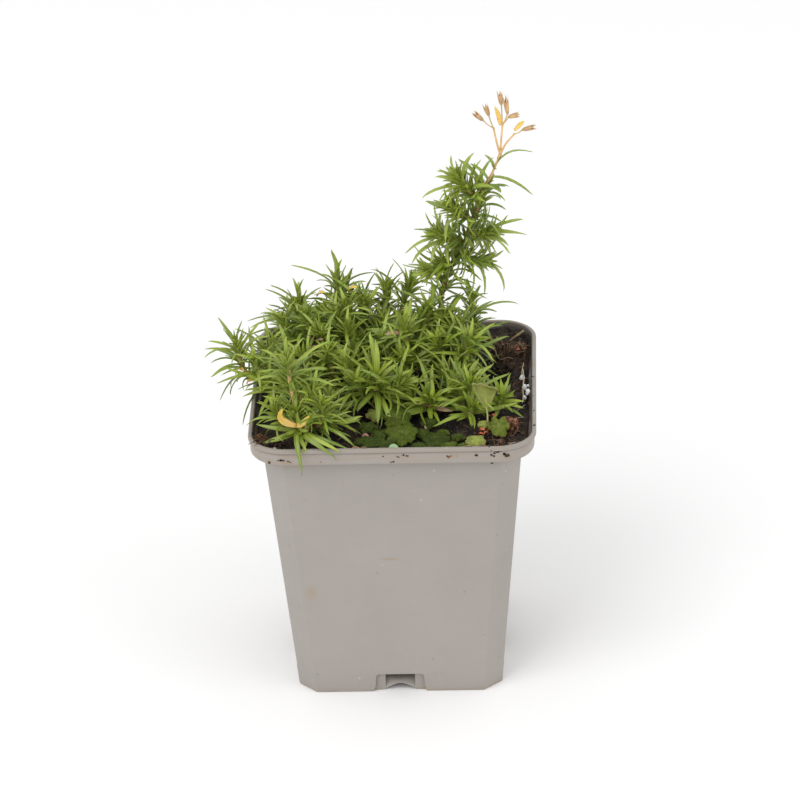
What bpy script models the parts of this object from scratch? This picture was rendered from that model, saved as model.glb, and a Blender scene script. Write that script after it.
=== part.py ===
"""A creeping phlox in a square nursery pot, with its soil, seedling weeds and a dried seed head.

Everything is shaped in millimetres, and the finished meshes are scaled to metres at the end. The
origin is the middle of the pot's underside, +Z is up, and -Y is the side that the low shoots lean to.
"""
import math
import random

import bmesh
import bpy
from mathutils import Matrix, Vector
from mathutils.bvhtree import BVHTree

MM = 0.001
GAP = 0.3               # clearance kept between neighbouring solids

# Pot
POT_HEIGHT = 93.8
BASE_HALF = 32.5        # half the width of the foot
BASE_CUT = 5.8          # leg of the cut corner at the foot
SHOULDER_Z = 87.4       # where the tapered body meets the rim band
SHOULDER_HALF = 40.3
SHOULDER_CUT = 6.3
BAND_Z = 88.3           # lower edge of the rim band
BAND_HALF = 44.3
RIM_HALF = 44.9
RIM_RADIUS = 12.0       # corner radius of the rim
LIP_HEIGHT = 1.5
WALL = 1.0
RIM_WALL = 1.4
FLOOR = 1.3
CORNER_STEPS = 4        # faces in each corner

# Drain openings, one in the middle of each side
RECESS_WIDTH = 16.0
RECESS_HEIGHT = 6.7
RECESS_DEPTH = 1.2
SLOT_WIDTH = 9.6
SLOT_BOTTOM = 3.2
ARCH_WIDTH = 11.5
ARCH_HEIGHT = 1.9
ARCH_REACH = 6.0        # how far the arch runs in under the floor

# Soil
SOIL_LEVEL = 89.9       # mean height of the peat
SOIL_FOOT = 1.6
STEM_DEPTH = 8.0        # how deep a stem stands in its hole

# Leafy stems
STEM_RADIUS = 0.75
TIP_SWELL = 0.5         # share by which a stem thickens under the young leaves
LEAF_LENGTH = 15.0
LEAF_WIDTH = 2.1
LEAF_DEPTH = 0.75       # from the flat upper face down to the keel
ROOT_SINK = 0.2         # from the stem's middle to where a leaf starts inside it
STALK_RADIUS = 0.55     # of seedling leaf stalks

COLOURS = {
    "pot": (0.40, 0.37, 0.345),
    "soil": (0.035, 0.022, 0.015),
    "leaf": (0.16, 0.30, 0.035),
    "straw": (0.45, 0.27, 0.10),
    "yellow": (0.80, 0.50, 0.08),
    "dry": (0.36, 0.22, 0.11),
    "seedling": (0.14, 0.28, 0.06),
    "wilted": (0.30, 0.33, 0.12),
    "fibre": (0.16, 0.07, 0.035),
    "stone": (0.50, 0.32, 0.26),
    "grain": (0.55, 0.66, 0.52),
    "perlite": (0.80, 0.80, 0.77),
}


# Scene and collections
for old in list(bpy.data.objects):
    bpy.data.objects.remove(old, do_unlink=True)
plant_parts = bpy.data.collections.new("potted_phlox")
cutters = bpy.data.collections.new("cutters")
bpy.context.scene.collection.children.link(plant_parts)
bpy.context.scene.collection.children.link(cutters)


def material(name, colour, roughness):
    """A plain Principled material."""
    made = bpy.data.materials.new(name)
    made.use_nodes = True
    shader = made.node_tree.nodes["Principled BSDF"]
    shader.inputs["Base Color"].default_value = (*colour, 1.0)
    shader.inputs["Roughness"].default_value = roughness
    shader.inputs["Metallic"].default_value = 0.0
    return made


def mesh_object(name, built, collection):
    """An object from a bmesh, with its faces turned outwards."""
    bmesh.ops.recalc_face_normals(built, faces=built.faces)
    mesh = bpy.data.meshes.new(name)
    built.to_mesh(mesh)
    built.free()
    made = bpy.data.objects.new(name, mesh)
    collection.objects.link(made)
    return made


def cutter(name, built):
    """An object that only cuts, kept out of the render."""
    made = mesh_object(name, built, cutters)
    made.hide_render = True
    made.display_type = "WIRE"
    return made


def settle_modifiers(target):
    """Apply the modifiers by taking the evaluated mesh."""
    graph = bpy.context.evaluated_depsgraph_get()
    mesh = bpy.data.meshes.new_from_object(target.evaluated_get(graph))
    target.modifiers.clear()
    old = target.data
    target.data = mesh
    bpy.data.meshes.remove(old)


def combine(target, others, operation, solver):
    """Join or cut a solid with a list of others, in one Boolean, and remove those others."""
    group = bpy.data.collections.new(target.name + "_" + operation.lower())
    cutters.children.link(group)
    for other in others:
        group.objects.link(other)
    change = target.modifiers.new(operation.lower(), "BOOLEAN")
    change.operation = operation
    change.operand_type = "COLLECTION"
    change.collection = group
    change.solver = solver
    settle_modifiers(target)
    for other in others:
        bpy.data.objects.remove(other, do_unlink=True)
    bpy.data.collections.remove(group)


def box(centre, size):
    """A bmesh box."""
    built = bmesh.new()
    bmesh.ops.create_cube(built, size=1.0)
    bmesh.ops.scale(built, vec=size, verts=built.verts)
    bmesh.ops.translate(built, vec=centre, verts=built.verts)
    return built


def loft(rings):
    """A closed skin through rings of equal count, each end closed by a fan on its middle."""
    built = bmesh.new()
    levels = [[built.verts.new(point) for point in ring] for ring in rings]
    count = len(levels[0])
    for lower, upper in zip(levels, levels[1:]):
        for i in range(count):
            j = (i + 1) % count
            built.faces.new((lower[i], lower[j], upper[j], upper[i]))
    for level in (levels[0], levels[-1]):
        middle = built.verts.new(sum((v.co for v in level), Vector()) / count)
        for i in range(count):
            built.faces.new((level[i], level[(i + 1) % count], middle))
    return built


# Pot

def square_ring(half, corner, roundness, z, side_points=0):
    """One level of the pot: a square whose corners are cut straight (0) or round (1)."""
    points = []
    for quarter in range(4):
        turn = Matrix.Rotation(math.radians(90 * quarter), 3, "Z")
        for step in range(CORNER_STEPS + 1):
            part = step / CORNER_STEPS
            straight = Vector((half - corner * part, half - corner * (1 - part), z))
            angle = math.radians(90 * part)
            arc = Vector((half - corner + corner * math.cos(angle),
                          half - corner + corner * math.sin(angle), z))
            points.append(turn @ straight.lerp(arc, roundness))
        reach = half - corner
        for step in range(1, side_points + 1):
            along = reach - 2 * reach * step / (side_points + 1)
            points.append(turn @ Vector((along, half, z)))
    return points


def body_half(z):
    """Half width of the tapered body's outside at a height."""
    return BASE_HALF + (SHOULDER_HALF - BASE_HALF) * z / SHOULDER_Z


def body_cut(z):
    """Leg of the body's cut corner at a height."""
    return BASE_CUT + (SHOULDER_CUT - BASE_CUT) * z / SHOULDER_Z


def inside_rings(inset, foot, top, side_points=0):
    """The cavity's levels from its floor up through the stepped rim, drawn in by an inset."""
    ledge = SHOULDER_Z + WALL - inset * 0.5
    shrink = WALL + inset
    rings = [
        square_ring(body_half(foot) - shrink, body_cut(foot) - 0.4, 0.0, foot, side_points),
        square_ring(body_half(ledge) - shrink, body_cut(ledge) - 0.4, 0.0, ledge + inset, side_points),
        square_ring(BAND_HALF - shrink - 0.2, RIM_RADIUS - WALL, 1.0, ledge + 1.0 + inset, side_points),
    ]
    if top:
        rings.append(square_ring(RIM_HALF - RIM_WALL, RIM_RADIUS - WALL, 1.0, top, side_points))
    return rings


def side_turns():
    """The four turns that carry a feature of the front side to every side."""
    return [Matrix.Rotation(math.radians(90 * quarter), 4, "Z") for quarter in range(4)]


def turned(built, turn):
    """A bmesh turned about the pot's axis."""
    bmesh.ops.transform(built, matrix=turn, verts=built.verts)
    return built


def arch_tunnel(width, height, outer, inner):
    """A half-round tunnel under the pot's edge, along Y, from outside to its inner end."""
    steps = 6
    rings = []
    for y in (-outer, -inner):
        ring = [Vector((-width / 2, y, -1.0)), Vector((width / 2, y, -1.0))]
        for step in range(steps + 1):
            angle = math.pi * step / steps
            ring.append(Vector((width / 2 * math.cos(angle), y, height * math.sin(angle))))
        rings.append(ring)
    return loft(rings)


def drain_blocks(clearance):
    """The plastic that stands in from the wall behind each recess and over each arch."""
    blocks = []
    wall_line = BASE_HALF - RECESS_DEPTH - WALL
    reach = BASE_HALF - ARCH_REACH - WALL
    for number, turn in enumerate(side_turns()):
        high = RECESS_HEIGHT + WALL + clearance
        inner = wall_line - clearance
        back = box((0, -(inner + BASE_HALF + 3) / 2, high / 2),
                   (RECESS_WIDTH + 2 * (WALL + clearance), BASE_HALF + 3 - inner, high))
        blocks.append(cutter("recess_back_%d" % number, turned(back, turn)))
        low = ARCH_HEIGHT + WALL + clearance
        inner = reach - clearance
        over = box((0, -(inner + BASE_HALF + 2) / 2, low / 2),
                   (ARCH_WIDTH + 2 * (WALL + clearance), BASE_HALF + 2 - inner, low))
        blocks.append(cutter("arch_back_%d" % number, turned(over, turn)))
    return blocks


def make_pot():
    """The moulded shell: outside, then its cavity, recesses, slots and arches cut away."""
    lip_z = POT_HEIGHT - LIP_HEIGHT
    outside = [
        square_ring(BASE_HALF - 0.3, BASE_CUT - 0.1, 0.0, 0.0),
        square_ring(BASE_HALF, BASE_CUT, 0.0, 0.5),
        square_ring(SHOULDER_HALF, SHOULDER_CUT, 0.0, SHOULDER_Z),
        square_ring(BAND_HALF - 0.2, RIM_RADIUS - 0.6, 1.0, BAND_Z),
        square_ring(BAND_HALF, RIM_RADIUS - 0.6, 1.0, BAND_Z + 0.4),
        square_ring(BAND_HALF + 0.1, RIM_RADIUS - 0.4, 1.0, lip_z),
        square_ring(RIM_HALF, RIM_RADIUS, 1.0, lip_z + 0.35),
        square_ring(RIM_HALF, RIM_RADIUS, 1.0, POT_HEIGHT - 0.4),
        square_ring(RIM_HALF - 0.4, RIM_RADIUS - 0.4, 1.0, POT_HEIGHT),
    ]
    pot = mesh_object("pot", loft(outside), plant_parts)
    cavity = cutter("cavity", loft(inside_rings(0.0, FLOOR, POT_HEIGHT + 1.0)))
    combine(cavity, drain_blocks(0.0), "DIFFERENCE", "EXACT")
    cuts = [cavity]
    for number, turn in enumerate(side_turns()):
        recess = box((0, -(BASE_HALF + 3), RECESS_HEIGHT / 2 - 1), (RECESS_WIDTH, 1, RECESS_HEIGHT + 2))
        for corner in recess.verts:
            if corner.co.y > -(BASE_HALF + 3):
                lean = body_half(corner.co.z) - BASE_HALF
                corner.co.y = -(BASE_HALF - RECESS_DEPTH + lean)
        cuts.append(cutter("recess_%d" % number, turned(recess, turn)))
        tall = RECESS_HEIGHT - 0.1 - SLOT_BOTTOM
        slot = box((0, -BASE_HALF, SLOT_BOTTOM + tall / 2), (SLOT_WIDTH, 8.0, tall))
        cuts.append(cutter("slot_%d" % number, turned(slot, turn)))
        arch = arch_tunnel(ARCH_WIDTH, ARCH_HEIGHT, BASE_HALF + 3, BASE_HALF - ARCH_REACH)
        cuts.append(cutter("arch_%d" % number, turned(arch, turn)))
    combine(pot, cuts, "DIFFERENCE", "EXACT")
    pot.data.shade_smooth()
    pot.data.set_sharp_from_angle(angle=math.radians(35))
    pot.data.materials.clear()
    pot.data.materials.append(material("pot_plastic", COLOURS["pot"], 0.55))
    return pot


# Soil

def ground(x, y):
    """Height of the peat: lumps, a hollow at the right and a dip by the front left corner."""
    lumps = 0.55 * math.sin(0.21 * x + 1.3) * math.cos(0.17 * y) + 0.35 * math.sin(0.43 * x - 0.37 * y)
    hollow = 9.0 * math.exp(-((x - 33) ** 2 + (y - 16) ** 2) / 110)
    dip = 3.0 * math.exp(-((x + 32) ** 2 + (y + 33) ** 2) / 60)
    edge = max(abs(x), abs(y))
    calm = min(1.0, max(0.0, (38.0 - edge) / 6))
    return SOIL_LEVEL + (lumps - hollow - dip) * calm


def make_soil(holes):
    """The filled peat, fitted to the cavity, with a plain hole for each stem."""
    sides = 5
    rings = inside_rings(GAP, SOIL_FOOT, None, sides)
    edge = BAND_HALF - WALL - 0.2 - GAP
    for share in (1.0, 0.9, 0.78, 0.63, 0.45, 0.24):
        level = square_ring(edge * share, (RIM_RADIUS - WALL) * share, 1.0, 0.0, sides)
        rings.append([Vector((p.x, p.y, ground(p.x, p.y))) for p in level])
    soil = mesh_object("soil", loft(rings), plant_parts)
    cuts = drain_blocks(GAP)
    for number, (x, y, radius) in enumerate(holes):
        drill = bmesh.new()
        bmesh.ops.create_cone(drill, cap_ends=True, segments=5, radius1=radius + GAP * 1.3,
                              radius2=radius + GAP * 1.3, depth=STEM_DEPTH + 6)
        middle = ground(x, y) - STEM_DEPTH - GAP + (STEM_DEPTH + 6) / 2
        bmesh.ops.translate(drill, vec=(x, y, middle), verts=drill.verts)
        cuts.append(cutter("hole_%d" % number, drill))
    combine(soil, cuts, "DIFFERENCE", "EXACT")
    soil.data.materials.clear()
    soil.data.materials.append(material("peat", COLOURS["soil"], 0.95))
    return soil


# Stems: each route is a list of hand-set points, from where the stem leaves the soil to its tip

def smooth_path(points, steps=2):
    """A smooth line through the points (Catmull-Rom), with a few points in each span."""
    ends = [points[0] * 2 - points[1]] + points + [points[-1] * 2 - points[-2]]
    path = []
    for a, b, c, d in zip(ends, ends[1:], ends[2:], ends[3:]):
        for step in range(steps):
            t = step / steps
            path.append(0.5 * ((2 * b) + (c - a) * t + (2 * a - 5 * b + 4 * c - d) * t * t
                               + (3 * b - a - 3 * c + d) * t ** 3))
    path.append(points[-1].copy())
    thinned = [path[0]]
    for before, place, after in zip(path, path[1:], path[2:]):
        if (place - before).angle(after - place) > 0.06:
            thinned.append(place)
    return thinned + [path[-1]]


def tube(name, path, radii):
    """A four-sided solid along a path: a bevelled curve, made a mesh with its caps welded."""
    line = bpy.data.curves.new(name, "CURVE")
    line.dimensions = "3D"
    line.bevel_depth = 1.0
    line.bevel_resolution = 0
    line.use_fill_caps = True
    spline = line.splines.new("POLY")
    spline.points.add(len(path) - 1)
    for point, place, radius in zip(spline.points, path, radii):
        point.co = (*place, 1.0)
        point.radius = radius
    curve = bpy.data.objects.new(name + "_line", line)
    cutters.objects.link(curve)
    graph = bpy.context.evaluated_depsgraph_get()
    mesh = bpy.data.meshes.new_from_object(curve.evaluated_get(graph))
    built = bmesh.new()
    built.from_mesh(mesh)
    bmesh.ops.remove_doubles(built, verts=built.verts, dist=0.001)
    bmesh.ops.recalc_face_normals(built, faces=built.faces)
    built.to_mesh(mesh)
    built.free()
    made = bpy.data.objects.new(name, mesh)
    made.matrix_world = curve.matrix_world
    cutters.objects.link(made)
    bpy.data.objects.remove(curve, do_unlink=True)
    return made


class Twig:
    """A stem or side branch: its smooth path, the leaf tips set by hand and where its leaves grow.

    Leaf pairs grow from `bare` to `leafy` millimetres below the tip, at most `spacing` apart. The
    leaves with tips set by hand start no nearer to the tip than `reach`.
    """

    def __init__(self, points, tips=(), leafy=20.0, bare=0.5, spacing=4.0, thick=STEM_RADIUS,
                 swell=TIP_SWELL, rooted=True, reach=0.5):
        self.rooted = rooted
        self.thick = thick
        self.swell = swell
        self.tips = tips
        self.leafy = leafy
        self.bare = bare
        self.reach = reach
        self.spacing = spacing
        places = [Vector(p) for p in points]
        if rooted:
            x, y = points[0][:2]
            floor = ground(x, y)
            places[0] = Vector((x, y, floor + 1.0))
            path = smooth_path(places)
            self.path = [Vector((x, y, floor - STEM_DEPTH)), Vector((x, y, floor - 1.0))] + path
        else:
            self.path = smooth_path(places)

    def below_tip(self, distance):
        """The point and the direction of growth at a distance down from the tip."""
        left = distance
        for upper, lower in zip(self.path[::-1], self.path[-2::-1]):
            span = (upper - lower).length
            if left <= span:
                return upper.lerp(lower, left / span), (upper - lower).normalized()
            left -= span
        return self.path[0], (self.path[1] - self.path[0]).normalized()

    def levels(self):
        """Distances below the tip of the leaf pairs, close at the tip and wider below."""
        distances = []
        distance = self.bare
        step = 1.2 + 0.25 * self.bare
        while distance < self.leafy:
            distances.append(distance)
            distance += min(self.spacing, step)
            step *= 1.32
        return distances


def opening(distance):
    """The angle between a leaf and the stem, which opens away from the young tip."""
    return math.radians(min(88.0, 18.0 + 19.0 * distance ** 0.75))


def leaf(root, tip, axis, arch, width):
    """A leaf as its root, middle, tip, upper side and width, with the middle lifted by its arch."""
    run = tip - root
    along = run.normalized()
    up = axis - along * axis.dot(along)
    if up.length < 0.1:
        up = along.orthogonal()
    up.normalize()
    middle = root.lerp(tip, 0.48) + up * run.length * arch
    return root, middle, tip, up, width


def set_leaves(twig):
    """The leaves whose tips are set by hand, each from the level that opens towards it best."""
    made = []
    for given in twig.tips:
        tip = Vector(given[:3])
        arch = given[3] if len(given) > 3 else 0.09
        best = None
        for level in [twig.reach + 1.5 * i for i in range(int(twig.leafy / 1.5))]:
            root, axis = twig.below_tip(level)
            run = tip - root
            miss = abs(run.angle(axis) - opening(level)) + 0.02 * max(0.0, run.length - 16)
            if best is None or miss < best[0]:
                best = (miss, root, axis)
        made.append(leaf(best[1], tip, best[2], arch, LEAF_WIDTH * 1.12))
    return made


def grown_leaves(twig, kept, rng):
    """Opposite leaf pairs, each turned a quarter from the last, and small ones in their axils."""
    made = []
    turn = rng.uniform(0, math.pi)
    for number, level in enumerate(twig.levels()):
        root, axis = twig.below_tip(level)
        side = axis.orthogonal().normalized()
        other = axis.cross(side)
        turn += math.pi / 2 + rng.uniform(-0.25, 0.25)
        size = LEAF_LENGTH * (0.48 + 0.52 * min(1.0, level / 3.0))
        for half in (0, math.pi):
            spread = opening(level) + rng.uniform(-0.16, 0.16)
            around = side * math.cos(turn + half) + other * math.sin(turn + half)
            heading = axis * math.cos(spread) + around * math.sin(spread)
            heading.z += 0.12
            heading.normalize()
            reach = size * rng.uniform(0.82, 1.12)
            axil = (heading + axis * 0.9).normalized()
            axil_reach = reach * rng.uniform(0.42, 0.6)
            if all((k[2] - k[0]).angle(heading) > 0.42 or (k[0] - root).length > 3.5 for k in kept):
                made.append(leaf(root, root + heading * reach, axis, rng.uniform(0.05, 0.14),
                                 LEAF_WIDTH * rng.uniform(0.86, 1.04)))
            if level > 4.0 and number % 2 == 0:
                above = root + axis * 0.8
                made.append(leaf(above, above + axil * axil_reach, axis, 0.05, LEAF_WIDTH * 0.75))
    return made


def needle(shape, swell=0.0):
    """One leaf as a three-sided blade: flat above, keeled below, in two spans to its point."""
    root, middle, tip, up, width = shape
    built = bmesh.new()
    rings = []
    start = root + (middle - root).normalized() * ROOT_SINK
    for place, onward, wide, deep in ((start, middle - root, 0.33, 0.65), (middle, tip - root, 1.0, 1.0)):
        along = onward.normalized()
        across = along.cross(up).normalized()
        over = across.cross(along)
        half = width * wide / 2 + swell
        low = LEAF_DEPTH * deep + swell
        rings.append([built.verts.new(place + across * half + over * (0.2 + swell)),
                      built.verts.new(place - across * half + over * (0.2 + swell)),
                      built.verts.new(place - over * (low - 0.2))])
    point = built.verts.new(tip + (tip - middle).normalized() * swell * 1.5)
    first, second = rings
    built.faces.new(first[::-1])
    for i in range(3):
        j = (i + 1) % 3
        built.faces.new((first[i], first[j], second[j], second[i]))
        built.faces.new((second[i], second[j], point))
    return built


class Neighbours:
    """The solids already standing, which a new leaf has to clear."""

    def __init__(self):
        self.points = []
        self.faces = []
        self.tree = None

    def add(self, built):
        """Take in a bmesh."""
        base = len(self.points)
        built.verts.index_update()
        self.points.extend(v.co.copy() for v in built.verts)
        self.faces.extend([base + v.index for v in f.verts] for f in built.faces)
        self.tree = None

    def add_object(self, made):
        """Take in a finished object."""
        built = bmesh.new()
        built.from_mesh(made.data)
        self.add(built)
        built.free()

    def clear_of(self, built):
        """Whether a bmesh crosses none of them."""
        if self.tree is None and self.faces:
            self.tree = BVHTree.FromPolygons(self.points, self.faces)
        if self.tree is None:
            return True
        return not BVHTree.FromBMesh(built).overlap(self.tree)


def bent(shape, swing, lift, shorter):
    """The same leaf swung about its root, lifted towards the stem's tip or shortened."""
    root, middle, tip, up, width = shape
    along = (tip - root).normalized()
    across = along.cross(up)
    turn = Matrix.Rotation(swing, 3, up) @ Matrix.Rotation(lift, 3, across)
    return (root, root + turn @ (middle - root) * shorter, root + turn @ (tip - root) * shorter,
            turn @ up, width)


def clear_needle(shape, neighbours):
    """The leaf as it is, or bent clear of its neighbours, or nothing where no way is clear."""
    tries = [(0, 0, 1.0), (0.2, 0, 1.0), (-0.2, 0, 1.0), (0, 0.2, 1.0), (0, -0.2, 1.0), (0.4, 0.1, 0.95),
             (-0.4, 0.1, 0.95), (0.2, -0.3, 0.9), (-0.2, -0.3, 0.9), (0, 0.4, 0.85), (0, 0, 0.75),
             (0.6, 0.2, 0.75), (-0.6, 0.2, 0.75), (0, 0, 0.6)]
    for swing, lift, shorter in tries:
        candidate = bent(shape, swing, lift, shorter)
        tested = needle(candidate, swell=0.2)
        free = neighbours.clear_of(tested)
        tested.free()
        if free:
            return candidate
    return None


def one_body(made):
    """Keep the outer skin of a joined solid, and drop scraps and skins of sealed hollows."""
    built = bmesh.new()
    built.from_mesh(made.data)
    bmesh.ops.triangulate(built, faces=built.faces)
    left = set(built.verts)
    islands = []
    while left:
        stack = [left.pop()]
        island = set(stack)
        while stack:
            for edge in stack.pop().link_edges:
                for vertex in edge.verts:
                    if vertex in left:
                        left.remove(vertex)
                        island.add(vertex)
                        stack.append(vertex)
        islands.append(island)
    islands.sort(key=len)
    extra = [v for island in islands[:-1] for v in island]
    bmesh.ops.delete(built, geom=extra, context="VERTS")
    built.to_mesh(made.data)
    built.free()


def stem_radii(twig):
    """Radii along a stem, which thickens where the leaves crowd at its tip."""
    count = len(twig.path)
    return [twig.thick * (1.0 + twig.swell * i / (count - 1)) for i in range(count)]


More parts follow.
